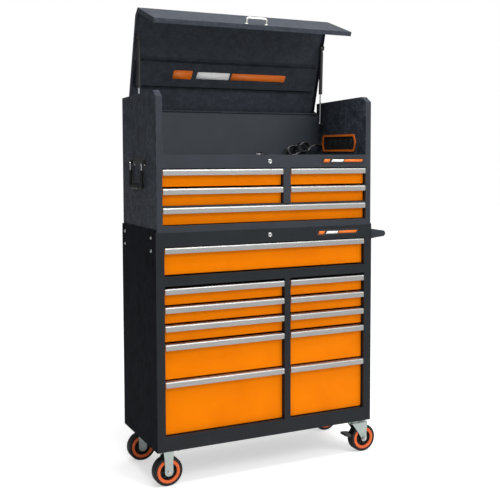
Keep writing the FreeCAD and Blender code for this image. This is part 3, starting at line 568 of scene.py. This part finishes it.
def make_drawer(name):
    """A drawer on its CAD box: folded front, full-width pull, box and two runners."""
    lo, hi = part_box(name)
    face = lo.y + PULL_D
    shallow = hi.z - lo.z < 120 * MM
    # front: a folded pan, open at the back
    bm = bmesh.new()
    add_box(bm, (lo.x, face, lo.z), (hi.x, face + FRONT_DEPTH, hi.z - 0.4 * MM))
    bm.faces.ensure_lookup_table()
    back = [f for f in bm.faces if all(abs(v.co.y - face - FRONT_DEPTH) < 1e-6 for v in f.verts)]
    bmesh.ops.delete(bm, geom=back, context="FACES")
    rim = [e for e in bm.edges if all(abs(v.co.y - face) < 1e-6 for v in e.verts)]
    posts = [e for e in bm.edges if abs(e.verts[0].co.y - e.verts[1].co.y) > 1e-4]
    bmesh.ops.bevel(bm, geom=rim + posts, offset=2.2 * MM, segments=4, profile=0.5, affect="EDGES")
    front = piece(name + "_front", bm, ORANGE, name)
    thick = front.modifiers.new("sheet", "SOLIDIFY")
    thick.thickness = SHEET
    thick.offset = -1
    front.modifiers.new("shade", "WEIGHTED_NORMAL").keep_sharp = True
    # pull
    bm = bmesh.new()
    outline = [(lo.x, y, z) for y, z in pull_profile(lo.y, face, hi.z)]
    add_prism(bm, outline, (hi.x - lo.x, 0, 0))
    piece(name + "_pull", bm, ALUMINIUM, name, 0.00025, 1)
    # box: floor, four walls and the folded hems along their tops
    b0, b1 = lo.x - BOX_GROW + SLIDE_ROOM, hi.x + BOX_GROW - SLIDE_ROOM
    y0, y1 = face + FRONT_DEPTH, hi.y
    z0 = lo.z + 4 * MM
    z1 = hi.z - (9 if shallow else 16) * MM
    z_hem = z1 - 7 * MM
    hem = 2.4 * MM
    bm = bmesh.new()
    add_box(bm, (b0, y0, z0), (b1, y1, z0 + SHEET))
    for x0, x1 in ((b0, b0 + SHEET), (b1 - SHEET, b1)):
        add_box(bm, (x0, y0, z0 + SHEET), (x1, y1, z_hem))
    for x0, x1 in ((b0, b0 + hem), (b1 - hem, b1)):
        add_box(bm, (x0, y0, z_hem), (x1, y1, z1))
    for a, b in ((y0, y0 + SHEET), (y1 - SHEET, y1)):
        add_box(bm, (b0 + hem, a, z0 + SHEET), (b1 - hem, b, z_hem))
    for a, b in ((y0, y0 + hem), (y1 - hem, y1)):
        add_box(bm, (b0 + hem, a, z_hem), (b1 - hem, b, z1))
    box = piece(name + "_box", bm, LINER, name, 0.0003, 1)
    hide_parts(name)
    # moving slide members: a channel on each side
    z = lo.z + (18 if shallow else 36) * MM
    bm = bmesh.new()
    for base, out in ((b0, -1), (b1, 1)):
        for depth, low, high in ((1.4 * MM, 0, RUNNER_H), (RUNNER_REACH, 0, 3 * MM),
                                 (RUNNER_REACH, RUNNER_H - 3 * MM, RUNNER_H)):
            x = sorted((base, base + out * depth))
            add_box(bm, (x[0], y0 + 4 * MM, z + low), (x[1], y1, z + high))
    piece(name + "_runners", bm, ZINC, name, 0.0003, 1)


for drawer_name in DRAWERS:
    make_drawer(drawer_name)


# ---- cord, hank and plug ------------------------------------------------------------------------------
CORD_D = 7.0
EXIT = (457.0, 416.0, 1444.0)
HEAD = [EXIT, (442.0, 416.0, 1440.0), (426.0, 416.0, 1425.0)]
PLUG = (186.0, 402.0, 1395.0)
TAIL = [(284.0, 393.0, 1389.5), (260.0, 399.0, 1387.0), (234.0, 406.0, 1387.0), (208.0, 406.0, 1390.0),
        PLUG]
HANK_MIDDLE = (355.0, 409.0, 1421.5)
HANK_END_R = 23.0       # radius of a loop's round ends
HANK_RUN = 40.0         # half of its straight runs
HANK_BOW = 7.0          # how far the tie draws the runs together
HANK_TURNS = 5
HANK_LEAN = 78          # degrees from lying flat
HANK_TILT = 15.0        # degrees its right end is tipped up
HANK_SWING = 3.5        # how much that differs from one half turn to another
HANK_BLEND = 26.0       # half of the length over which it changes
HANK_STUB = 30.0        # the first and last turn end this far past the tie
LAYER = 7.3             # from one turn to the next
POINT_STEP = 13.0
STRAP_T = 1.3
STRAP_HALF_X = 7.0


def hank_loop(s):
    """A point of one turn in its own plane, s millimetres round it from its right end."""
    r, run = HANK_END_R, HANK_RUN
    quarter = math.pi * r / 2
    around = s % (4 * quarter + 4 * run)
    flip = around > 2 * quarter + 2 * run
    if flip:
        around -= 2 * quarter + 2 * run
    if around < quarter:
        x, w = run + r * math.cos(around / r), r * math.sin(around / r)
    elif around < quarter + 2 * run:
        x = run - (around - quarter)
        w = r - HANK_BOW * (1 + math.cos(math.pi * x / run)) / 2
    else:
        a = (around - 2 * run) / r
        x, w = -run + r * math.cos(a), r * math.sin(a)
    return (-x, -w) if flip else (x, w)


def hank_plane(x, w, depth):
    """A point of the hank, which leans back against the wall behind it."""
    lean = math.radians(HANK_LEAN)
    up = Vector((0, math.cos(lean), math.sin(lean)))
    out = Vector((0, -math.sin(lean), math.cos(lean)))
    return Vector(HANK_MIDDLE) + Vector((x, 0, 0)) + up * w + out * depth


def tipped(x, w, degrees):
    """A point of the hank's plane, turned in it."""
    c, k = math.cos(math.radians(degrees)), math.sin(math.radians(degrees))
    return x * c - w * k, x * k + w * c


def hank_tilt(half):
    """How far each half turn is tipped up at its right end, in degrees."""
    return HANK_TILT + HANK_SWING * math.sin(2.1 * half)


def hank_points():
    """The hank's turns, from a lower run near the wall to a lower run at the front; each crosses under the tie."""
    loop = 2 * math.pi * HANK_END_R + 4 * HANK_RUN
    middle = math.pi * HANK_END_R / 2 + HANK_RUN
    first = middle - HANK_STUB
    last = middle + HANK_TURNS * loop + HANK_STUB
    count = round((last - first) / POINT_STEP)
    made = []
    for k in range(count + 1):
        s = first + (last - first) * k / count
        turn = (s - first) / loop
        x, w = hank_loop(s)
        halves = (s - middle) / (loop / 2)
        near = round(halves)
        t = min(max((halves - near) * loop / 2 / HANK_BLEND / 2 + 0.5, 0), 1)
        t = t * t * (3 - 2 * t)
        x, w = tipped(x, -w, hank_tilt(near - 1) * (1 - t) + hank_tilt(near) * t)
        made.append(tuple(hank_plane(x, w, LAYER * (turn - HANK_TURNS / 2 - 0.1))))
    return made


def make_cord():
    points = HEAD + hank_points() + TAIL
    data = bpy.data.curves.new("power_lead", "CURVE")
    data.dimensions = "3D"
    data.bevel_depth = CORD_D / 2 * MM
    data.bevel_resolution = 6
    data.resolution_u = 6
    data.use_fill_caps = True
    spline = data.splines.new("NURBS")
    spline.points.add(len(points) - 1)
    for point, co in zip(spline.points, points):
        point.co = (*at(*co), 1)
    spline.order_u = 4
    spline.use_endpoint_u = True
    data.materials.append(JACKET)
    lead = link_object("power_lead", data)
    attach(lead, "carcass")
    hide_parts("power_cord", "cord_hank")
    return lead


def make_tie():
    """A flat strap round the middle of the hank, with its free end sticking out."""
    half_w, half_d = HANK_END_R - HANK_BOW + 5.2, LAYER * HANK_TURNS / 2 + 5.4
    bm = bmesh.new()
    outline = rounded_rectangle(-half_w, half_w, -half_d, half_d, 6.0)
    inner = rounded_rectangle(-half_w + STRAP_T, half_w - STRAP_T, -half_d + STRAP_T, half_d - STRAP_T, 4.8)

    def turned(x, w, d):
        return at(*hank_plane(*tipped(x, w, HANK_TILT), d))

    rings = []
    for x in (-STRAP_HALF_X, STRAP_HALF_X):
        for line in (outline, inner):
            rings.append([bm.verts.new(turned(x, w, d)) for w, d in line])
    count = len(outline)
    for a, b in ((0, 1), (1, 3), (3, 2), (2, 0)):
        for k in range(count):
            j = (k + 1) % count
            bm.faces.new((rings[a][k], rings[a][j], rings[b][j], rings[b][k]))
    corners = [turned(x, half_w + w, d) for x, w, d in
               ((-6, -0.6, half_d - 8), (6, -0.6, half_d - 8), (6, 5.5, half_d + 4), (-6, 5.5, half_d + 4))]
    add_prism(bm, corners, turned(0, 1.2, 0) - turned(0, 0, 0))
    piece("cord_tie", bm, GRIP, "carcass", 0.0003, 1)


def make_plug():
    """A moulded plug: ridged strain relief, round body, two flat blades and a round earth pin."""
    profile = [(0, 0), (0, 4.6)]
    for k in range(5):
        r = 5.2 + 1.2 * k
        profile += [(1 + 4.4 * k, r), (3.4 + 4.4 * k, r + 0.3), (3.9 + 4.4 * k, r - 1.0), (4.9 + 4.4 * k, r - 0.9)]
    profile += [(24, 12.0), (25.5, 12.8), (38.0, 13.0), (39.4, 12.4), (40.0, 11.4), (40.0, 0)]
    bm = bmesh.new()
    add_lathe(bm, scaled(profile), at(*PLUG), (-1, 0, 0), 40)
    body = piece("plug_body", bm, MOULDING, "carcass")
    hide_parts("cord_plug")
    x, y, z = PLUG
    bm = bmesh.new()
    for side in (-6.3, 6.3):
        add_box(bm, at(x - 58, y + side - 0.8, z - 1), at(x - 39.5, y + side + 0.8, z + 5.5))
    piece("plug_blades", bm, STEEL, "carcass", 0.0005)
    bm = bmesh.new()
    pin = [(0, 0), (0, 2.4), (17.5, 2.4), (19.5, 1.7), (20.3, 0)]
    add_lathe(bm, scaled(pin), at(x - 39.5, y, z - 7.5), (-1, 0, 0), 20)
    piece("plug_earth", bm, STEEL, "carcass")


make_plug()
make_tie()
lead = make_cord()


# ---- outlet strip -------------------------------------------------------------------------------------
STRIP_Y = (86.0, 397.0)
STRIP_Z = (1413.0, 1488.0)
SWITCH = (122.0, 140.0, 1438.0, 1463.0)
STRIP_X = 488.0         # face of its plate


def strip_outline(grow, r, steps=4):
    """The strip's six-sided outline in Y and Z with rounded corners."""
    y0, y1 = STRIP_Y
    z0, z1 = STRIP_Z
    middle = (z0 + z1) / 2
    line = [(y0 - grow, middle), (y0 + 14 - 0.7 * grow, z1 + grow), (y1 - 12 + 0.7 * grow, z1 + grow),
            (y1 + grow, middle), (y1 - 12 + 0.7 * grow, z0 - grow), (y0 + 14 - 0.7 * grow, z0 - grow)]
    corners = [Vector((0, *p)) for p in line]
    made = []
    for i, b in enumerate(corners):
        a, c = corners[i - 1], corners[(i + 1) % len(corners)]
        made += rounded_path([a, b, c], r, steps)[1:-1]
    return [(p.y, p.z) for p in made]


def pierced_plate(outlines, x, depth):
    """A plate in a Y and Z plane from x towards +X: the first outline, less the others, as a bmesh."""
    data = bpy.data.curves.new("plate", "CURVE")
    data.dimensions = "2D"
    data.fill_mode = "BOTH"
    data.extrude = depth / 2 * MM
    for line in outlines:
        spline = data.splines.new("POLY")
        spline.points.add(len(line) - 1)
        for point, (y, z) in zip(spline.points, line):
            point.co = (y * MM, z * MM, 0, 1)
        spline.use_cyclic_u = True
    holder = bpy.data.objects.new("plate", data)
    mesh = bpy.data.meshes.new_from_object(holder)
    bm = bmesh.new()
    bm.from_mesh(mesh)
    origin = at(x + depth / 2, 0, 0)
    for v in bm.verts:
        y, z, along = v.co
        v.co = (origin.x + along, origin.y + y, z)
    bmesh.ops.remove_doubles(bm, verts=bm.verts, dist=1e-6)
    bpy.data.objects.remove(holder)
    bpy.data.curves.remove(data)
    bpy.data.meshes.remove(mesh)
    return bm


def outlet_slots(y, z):
    """The three openings of a grounded outlet: two flat slots and a round one under them."""
    slots = [rounded_rectangle(y + side - w, y + side + w, z - 1, z + 7, 0.6, 2)
             for side, w in ((-6.3, 1.2), (6.3, 1.0))]
    return slots + [arc(y, z - 7, 2.6, 0, 340, 17)]


def make_strip():
    """The power strip in the right wall: plate, four outlets, bezel, rocker switch and the cord's boot."""
    y0, y1, z0, z1 = SWITCH
    switch_hole = rounded_rectangle(y0 - 0.4, y1 + 0.4, z0 - 0.4, z1 + 0.4, 1.5, 3)
    middle = (STRIP_Z[0] + STRIP_Z[1]) / 2
    outlet_y = [182 + 47.0 * k for k in range(4)]
    faces = [rounded_rectangle(y - 17, y + 17, middle - 19, middle + 19, 9) for y in outlet_y]
    bm = pierced_plate([strip_outline(-4.4, 5)] + faces + [switch_hole], STRIP_X, 2.0)
    plate = piece("strip_plate", bm, MOULDING, "carcass", 0.0004, 1)
    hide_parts("power_strip")
    bm = bmesh.new()
    add_prism(bm, [at(490.2, y, z) for y, z in strip_outline(-4.4, 5)], (0.0163, 0, 0))
    piece("strip_body", bm, MOULDING, "carcass", 0.0006, 1)
    for k, y in enumerate(outlet_y):
        bm = pierced_plate([rounded_rectangle(y - 16.4, y + 16.4, middle - 18.4, middle + 18.4, 8.5)]
                           + outlet_slots(y, middle), 486.4, 3.2)
        piece("outlet_%d" % (k + 1), bm, SATIN, "carcass", 0.0004, 1)
    bm = pierced_plate([strip_outline(3, 7), strip_outline(-6.5, 5)], 483.0, 4.0)
    bezel = piece("strip_bezel", bm, ORANGE_PLASTIC, "carcass", 0.0012, 3)
    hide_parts("power_strip_bezel")
    # screws at both ends
    bm = bmesh.new()
    for y in (STRIP_Y[0] + 16, STRIP_Y[1] - 14):
        add_lathe(bm, scaled([(0, 0), (0, 3.0), (0.8, 2.4), (1.1, 0)]), at(STRIP_X, y, middle), (-1, 0, 0), 24)
    piece("strip_screws", bm, STEEL, "carcass")
    # rocker, its printed marks, and the ridged boot round the cord
    mid_z = (z0 + z1) / 2
    bm = bmesh.new()
    outline = [(493.5, z0 + 3), (493.5, z1 - 3), (486.5, z1)]
    outline += [(484.0 + 0.04 * (z - mid_z) ** 2 / 4, z) for z in (mid_z + 6, mid_z + 3, mid_z, mid_z - 3)]
    outline += [(482.6, z0 + 1.5), (482.8, z0)]
    add_prism(bm, [at(x, y0 + 0.4, z) for x, z in outline], (0, (y1 - y0 - 0.8) * MM, 0))
    rocker = piece("strip_rocker", bm, SATIN, "power_switch", 0.0006)
    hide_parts("power_switch")
    bm = bmesh.new()
    for z in (mid_z + 17, mid_z - 17):
        add_lathe(bm, disc(1.6, 0.2), at(STRIP_X, (y0 + y1) / 2, z), (-1, 0, 0), 20)
    piece("strip_marks", bm, WHITE_INK, "carcass")
    profile = [(0, 0), (0, 11.0), (3.0, 11.0), (4.0, 10.0), (4.0, 7.6)]
    for k in range(5):
        r = 7.4 - 0.55 * k
        profile += [(5 + 5 * k, r), (7.6 + 5 * k, r - 0.15), (8.2 + 5 * k, r - 1.3), (9.2 + 5 * k, r - 1.4)]
    profile += [(30.0, 4.4), (30.0, 0)]
    bm = bmesh.new()
    add_lathe(bm, scaled(profile), at(EXIT[0] + 30, *EXIT[1:]), (-1, 0, 0), 32)
    piece("cord_boot", bm, GRIP, "carcass")


make_strip()


# ---- casters ------------------------------------------------------------------------------------------
WHEEL_R = 63.5
WHEEL_Y = {"front": 55.0, "rear": 408.0}
CASTER_X = 460.0
TRAIL = 45.0
FORK_GAP = 25.5
FORK_T = 3.0
FORK_REACH = FORK_GAP + FORK_T
CROWN = 142.0           # top of a swivel fork's bridge
RIGID_CROWN = 153.0
WASHER = 4.0            # on both ends of a swivel fork's axle


def make_wheel(name, x, y):
    """A tyre with a rounded tread, an orange ring bead on each face, and a recessed ribbed hub."""
    centre = at(x, y, WHEEL_R)
    bm = bmesh.new()
    half, shoulder = 22.5, 8.0
    side = [(half - 1.5, 50.2), (half - 0.4, 52.0)]
    side += [(half - shoulder + a, WHEEL_R - shoulder + b) for a, b in arc(0, 0, shoulder, 0, 78, 6)]
    tread = [(10.5, WHEEL_R - 0.25), (9.9, WHEEL_R - 1.0), (9.3, WHEEL_R - 0.15), (4.0, WHEEL_R)]
    right = [(half - 1.5, 49.0)] + side + tread
    profile = right + [(-a, r) for a, r in right[::-1]]
    add_lathe(bm, ring(profile), centre, (0, 1, 0), 72)
    tyre = piece(name + "_tyre", bm, TYRE, name)
    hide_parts(name)
    bm = bmesh.new()
    bead = [(half - 4, 49.9), (half - 0.8, 49.9)]
    bead += [(half - 1.2 + a * 0.24, 43.5 + b) for a, b in arc(0, 0, 6.4, 80, -80, 9)]
    bead += [(half - 4.5, 37.0)]
    profile = bead + [(-a, r) for a, r in bead[::-1]]
    add_lathe(bm, ring(profile), centre, (0, 1, 0), 72)
    piece(name + "_ring", bm, ORANGE_WHEEL, name)
    bm = bmesh.new()
    hub = [(17.0, 36.9), (17.6, 34.5), (9.0, 31.0), (8.0, 17.0), (15.0, 14.6), (half, 14.0), (half + 1, 13.0),
           (half + 1, 6.4)]
    profile = hub + [(-a, r) for a, r in hub[::-1]]
    add_lathe(bm, ring(profile), centre, (0, 1, 0), 64)
    for k in range(8):
        turn = Matrix.Rotation(2 * math.pi * k / 8, 4, "Y")
        rib = bmesh.new()
        add_box(rib, (14 * MM, -16 * MM, -1.5 * MM), (33 * MM, 16 * MM, 1.5 * MM))
        bmesh.ops.transform(rib, matrix=Matrix.Translation(centre) @ turn, verts=rib.verts)
        holder = bpy.data.meshes.new("rib")
        rib.to_mesh(holder)
        rib.free()
        bm.from_mesh(holder)
        bpy.data.meshes.remove(holder)
    piece(name + "_hub", bm, MOULDING, name, 0.0004, 1)


def leg_line(x, left, right, top, foot_r):
    """A fork leg in X and Z: slightly hollow sides that run into a round end about the axle."""
    end = arc(x, WHEEL_R, foot_r, 12, -192, 16)
    count = 6

    def side(top_x, foot, sign):
        made = []
        for k in range(count):
            t = k / count
            px = top_x + (foot[0] - top_x) * t
            made.append((px - sign * 2.0 * math.sin(math.pi * t), top + (foot[1] - top) * t))
        return made

    return side(right, end[0], 1) + end + side(left, end[-1], -1)[::-1]


def add_hex(bm, origin, axis, across, height):
    """A hexagon nut or bolt head, in millimetres."""
    r = across / 2
    add_lathe(bm, scaled([(0, 0), (0, r), (height * 0.8, r), (height, across * 0.42), (height, 0)]), origin, axis, 6)


def make_fork(name, body, x, y, left, right, top, foot_r, replaced=None):
    """Two legs and the axle through them, with a nut and a bolt head."""
    line = leg_line(x, left, right, top, foot_r)
    bm = bmesh.new()
    for side in (-1, 1):
        start = min(side * FORK_GAP, side * FORK_REACH)
        add_prism(bm, [at(px, y + start, pz) for px, pz in line], (0, FORK_T * MM, 0))
    legs = piece(name + "_legs", bm, ZINC, body, 0.0009, 2)
    if replaced:
        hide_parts(replaced)
    washer = WASHER if "swivel" in body else 0.0
    bm = bmesh.new()
    add_lathe(bm, disc(6.0, 2 * FORK_REACH), at(x, y - FORK_REACH, WHEEL_R), (0, 1, 0), 24)
    for side in (-1, 1):
        add_lathe(bm, scaled([(0, 0), (0, 8.5), (1.3, 8.5), (1.5, 8.0), (1.5, 0)]),
                  at(x, y + side * (FORK_REACH + washer), WHEEL_R), (0, side, 0), 32)
    for side in (-1, 1):
        add_hex(bm, at(x, y + side * (FORK_REACH + 1.5 + washer), WHEEL_R), (0, side, 0), 13, 5.5)
    if washer:
        for start in (-FORK_REACH - washer, FORK_REACH):
            add_lathe(bm, disc(6.2, washer), at(x, y + start, WHEEL_R), (0, 1, 0), 24)
    piece(name + "_axle", bm, STEEL, body, 0.0003, 1)


def make_casters():
    for place, y in WHEEL_Y.items():
        make_wheel("wheel_left_" + place, -CASTER_X, y)
        make_wheel("wheel_right_" + place, CASTER_X + TRAIL, y)
        name = "rigid_fork_" + place
        make_fork(name, "carcass", -CASTER_X, y, -CASTER_X - 24, -CASTER_X + 23, RIGID_CROWN, 19.0,
                  "rigid_forks" if place == "front" else None)
        bm = bmesh.new()
        add_box(bm, at(-CASTER_X - 32, y - FORK_REACH, RIGID_CROWN),
                at(-CASTER_X + 32, y + FORK_REACH, RIGID_CROWN + FORK_T))
        piece(name + "_crown", bm, ZINC, "carcass", 0.0008, 2)
        name = "swivel_fork_" + place
        make_fork(name, name, CASTER_X + TRAIL, y, CASTER_X - 20, CASTER_X + 64, CROWN - FORK_T, 14.0, name)
        bm = bmesh.new()
        add_box(bm, at(CASTER_X - 26, y - FORK_REACH, CROWN - FORK_T), at(CASTER_X + 64, y + FORK_REACH, CROWN))
        piece(name + "_crown", bm, ZINC, name, 0.0008, 2)
        bm = bmesh.new()
        race = [(0, 8.3), (0, 25.5), (1.2, 27.0), (4.0, 27.0), (6.4, 25.0), (7.0, 25.0), (9.0, 27.0), (12.2, 26.4),
                (13.4, 24.8), (13.4, 8.3)]
        add_lathe(bm, ring(race), at(CASTER_X, y, CROWN), (0, 0, 1), 56)
        piece(name + "_race", bm, ZINC, name)


make_casters()
for place in WHEEL_Y:
    dress_node("brake_pedal_" + place, SATIN, 0.0012)


# ---- handles ------------------------------------------------------------------------------------------
CHEST_HALF = 514.5
CAB_HALF = 520.5
BAIL = (525.5, 236.0, 1364.0)
BAIL_HALF = 78.0
BAIL_DROP = 106.0
BAIL_CORNER = 6.6 * MM
SLEEVE_R = 7.2 * MM
PUSH_Z = 1026.5
PUSH_R = 14.0
PUSH_X = CAB_HALF + 105 - PUSH_R
PUSH_BRACKET_Y = (52.0, 414.0)


def make_side_handle(side, sign):
    """A folding bail with a ribbed grip, on a plate with two bent lugs and four rivets."""
    bx, by, bz = BAIL
    name = "side_handle_" + side
    bm = bmesh.new()
    plate = rounded_rectangle(by - 100, by + 100, bz - 17, bz + 17, 6)
    add_prism(bm, [at(sign * CHEST_HALF, y, z) for y, z in plate], (sign * 2 * MM, 0, 0))
    for s in (-1, 1):
        y0, y1 = sorted((by + s * 88, by + s * 92))
        add_prism(bm, [at(sign * (CHEST_HALF + 2 + a), y0, bz + b) for a, b in
                       [(0, 8), (0, -8)] + arc(9, 0, 8, -90, 90, 8)], (0, (y1 - y0) * MM, 0))
    plates = piece(name + "_plate", bm, SATIN, "carcass", 0.0007, 2)
    if side == "left":
        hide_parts("side_handle_plates")
    bm = bmesh.new()
    for y in (by - 96.5, by - 40, by + 40, by + 96.5):
        add_lathe(bm, scaled([(0, 0), (0, 3.4), (0.6, 3.4), (1.8, 2.2), (2.2, 0)]),
                  at(sign * (CHEST_HALF + 2), y, bz - 11), (sign, 0, 0), 20)
    piece(name + "_rivets", bm, STEEL, "carcass")
    low = bz - BAIL_DROP
    path = [at(sign * bx, by + y, z) for y, z in ((-94, bz), (-BAIL_HALF, bz), (-BAIL_HALF, low), (BAIL_HALF, low),
                                                   (BAIL_HALF, bz), (94, bz))]
    bail = rod_piece(name + "_bail", path, 4 * MM, CHROME, name, BAIL_CORNER)
    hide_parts(name)
    for s, end, leg in ((-1, "_sleeve_near", path[1:4]), (1, "_sleeve_far", path[4:1:-1])):
        corner = rounded_path(leg, BAIL_CORNER)
        sleeve = [corner[0].lerp(corner[1], 0.35)] + corner[1:-1] + [at(sign * bx, by + s * 53, low)]
        rod_piece(name + end, sleeve, SLEEVE_R, GRIP, name)
    profile = [(0, 4.2), (0, 8.6), (1.5, 9.8)]
    for k in range(9):
        profile += [(5 + 10.6 * k, 10.0), (9.5 + 10.6 * k, 10.0), (10.3 + 10.6 * k, 9.1), (12.3 + 10.6 * k, 9.1)]
    profile += [(102.5, 9.8), (104, 8.6), (104, 4.2)]
    bm = bmesh.new()
    add_lathe(bm, ring(profile), at(sign * bx, by - 52, low), (0, 1, 0), 36)
    piece(name + "_grip", bm, GRIP, name)


def make_push_handle():
    """The bar's ribbed grip between two tapered brackets, and the bolts in the spare holes of the left side."""
    y0, y1 = 64.0, 402.0
    profile = [(0, 0), (0, 12.6), (1.5, 13.6)]
    count = 26
    pitch = (y1 - y0 - 4) / count
    for k in range(count):
        a = 2 + pitch * k
        profile += [(a + 1.0, 13.9), (a + pitch - 2.4, 13.9), (a + pitch - 1.4, 13.0), (a + pitch - 0.4, 13.0)]
    profile += [(y1 - y0 - 1.5, 13.6), (y1 - y0, 12.6), (y1 - y0, 0)]
    bm = bmesh.new()
    add_lathe(bm, scaled(profile), at(PUSH_X, y0, PUSH_Z), (0, 1, 0), 40)
    bar = piece("push_grip", bm, GRIP, "carcass")
    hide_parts("push_handle_bar")
    bm = bmesh.new()
    for y in PUSH_BRACKET_Y:
        upper = [(CAB_HALF + a, b) for a, b in ((0, 38), (6, 38), (14, 27), (26, 22), (54.5, 17.5))]
        line = [(x, PUSH_Z + z) for x, z in upper]
        line += arc(PUSH_X, PUSH_Z, PUSH_R, 84, -84, 14)
        line += [(x, PUSH_Z - z) for x, z in upper[::-1]]
        add_prism(bm, [at(x, y - 12, z) for x, z in line], (0, 24 * MM, 0))
    mounts = piece("push_brackets", bm, SMOOTH, "carcass", 0.0035, 3)
    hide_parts("push_handle_mounts")
    bolt = [(0, 0), (0, 7.0), (2.6, 7.0), (3.0, 6.6), (3.0, 4.7), (5.2, 4.0), (6.0, 2.6), (6.0, 0)]
    bm = bmesh.new()
    for y in PUSH_BRACKET_Y:
        for dz in (-27.5, 27.5):
            add_lathe(bm, scaled(bolt), at(-CAB_HALF, y, PUSH_Z + dz), (-1, 0, 0), 28)
    piece("spare_hole_bolts", bm, ZINC, "carcass")


make_side_handle("left", -1)
make_side_handle("right", 1)
make_push_handle()


# ---- lid furniture ------------------------------------------------------------------------------------
HINGE_Y = 440.0
HINGE_Z = 1596.0
LID_OPEN = math.radians(71.5)
SKIN_RISE = (66.0 - 53.0) / (414.0 + 16.0)


def on_lid(x, s, n):
    """A point of the open lid: s forward of the hinge and n above it when the lid is shut."""
    c, k = math.cos(LID_OPEN), math.sin(LID_OPEN)
    return at(x, HINGE_Y - (s * c - n * k), HINGE_Z + s * k + n * c)


def band_face(s):
    """Height of the stiffening band's inner face: below the sloping skin by its thickness and the band's depth."""
    return 53.0 + (s + 16.0) * SKIN_RISE - 1.2 - 18.05


def make_lid_furniture():
    """The pull with its washers, and plain slanted stripes on the stiffening band."""
    half, s, reach, n = 48.0, 452.0, 25.0, -169.0
    path = [on_lid(-half, s, n), on_lid(-half, s + reach, n), on_lid(half, s + reach, n), on_lid(half, s, n)]
    pull = rod_piece("lid_bail", path, 5 * MM, NICKEL, "lid", 9 * MM)
    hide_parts("lid_pull")
    out = (on_lid(0, s + 1, n) - on_lid(0, s, n)).normalized()
    bm = bmesh.new()
    for x in (-half, half):
        add_lathe(bm, ring([(0, 4.8), (0, 9.0), (1.2, 9.0), (2.0, 8.0), (2.0, 4.8)]), on_lid(x, s, n), out, 32)
    piece("lid_bail_washers", bm, NICKEL, "lid")
    down = on_lid(0, 0, -0.35) - on_lid(0, 0, 0)
    lean = 7.0
    for tag, x0, x1, low, high, ink in (("short", -288, -196, 142, 182, ORANGE_INK),
                                        ("light", -172, -8, 146, 178, WHITE_INK),
                                        ("long", 2, 286, 146, 178, ORANGE_INK)):
        bm = bmesh.new()
        corners = rounded_rectangle(x0, x1, low, high, 5.0)
        line = [on_lid(x + lean * (s - low) / (high - low), s, band_face(s)) for x, s in corners]
        add_prism(bm, line, down)
        piece("lid_stripe_" + tag, bm, ink, "lid")


make_lid_furniture()


# ---- locks and badges ---------------------------------------------------------------------------------
def make_lock(name, z):
    """A round key lock: collar, turning plug with its key slot, and the cam behind the rail."""
    bm = bmesh.new()
    collar = [(25, 9.0), (3.0, 9.2), (1.4, 9.4), (0.4, 8.8), (0, 7.8), (0, 6.6), (0.8, 6.2), (1.2, 6.0), (25, 6.0)]
    add_lathe(bm, ring(collar), at(0, -3, z), (0, 1, 0), 40)
    outer = piece(name + "_collar", bm, CHROME, name)
    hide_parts(name)
    slot = rounded_rectangle(-1.0, 1.0, -4.2, 4.2, 0.9, 3)
    bm = pierced_plate([arc(0, 0, 5.9, 0, 350, 35), slot], 0.0, 3.0)
    centre = at(0, 0, 0)
    for v in bm.verts:
        depth, across, up = v.co.x - centre.x, v.co.y - centre.y, v.co.z
        v.co = at(0, -2.3, z) + Vector((across, depth, up))
    piece(name + "_plug", bm, STEEL, name, 0.0003, 1)
    bm = bmesh.new()
    add_box(bm, at(-5.5, 1.0, z - 5.5), at(5.5, 20.0, z + 5.5))
    piece(name + "_core", bm, MOULDING, name, 0.0003, 1)
    bm = bmesh.new()
    cam = arc(0, 0, 6, 0, 180, 10) + arc(0, -20, 6, 180, 360, 10)
    add_prism(bm, [at(x, 22, z + h) for x, h in cam], (0, 2 * MM, 0))
    piece(name + "_cam", bm, ZINC, name, 0.0004, 1)


def make_badge(name, x0, x1, z0, z1, body):
    """A plain black plate with a light stripe between two orange ones, and no lettering."""
    bm = bmesh.new()
    add_prism(bm, [at(x, 0, z) for x, z in rounded_rectangle(x0, x1, z0, z1, 4)], (0, -1.2 * MM, 0))
    piece(name, bm, MOULDING, body, 0.0004, 2)
    long = x1 - x0
    middle = (z0 + z1) / 2
    lean = 3.0
    for tag, a, b, tall, ink in (("short", 0.05, 0.18, 7.0, ORANGE_INK), ("light", 0.23, 0.50, 5.5, WHITE_INK),
                                 ("long", 0.52, 0.95, 5.5, ORANGE_INK)):
        bm = bmesh.new()
        corners = rounded_rectangle(x0 + a * long, x0 + b * long, middle - tall, middle + tall, 1.5, 3)
        add_prism(bm, [at(x + lean * (z - middle) / tall, -1.2, z) for x, z in corners], (0, -0.3 * MM, 0))
        piece(name + "_" + tag, bm, ink, body)


make_lock("chest_lock", 1368.0)
make_lock("cabinet_lock", 1049.0)
make_badge("chest_badge", 257.0, 480.0, 1355.0, 1383.0, "carcass")
make_badge("cabinet_badge", 231.0, 450.0, 1033.0, 1061.0, "carcass")
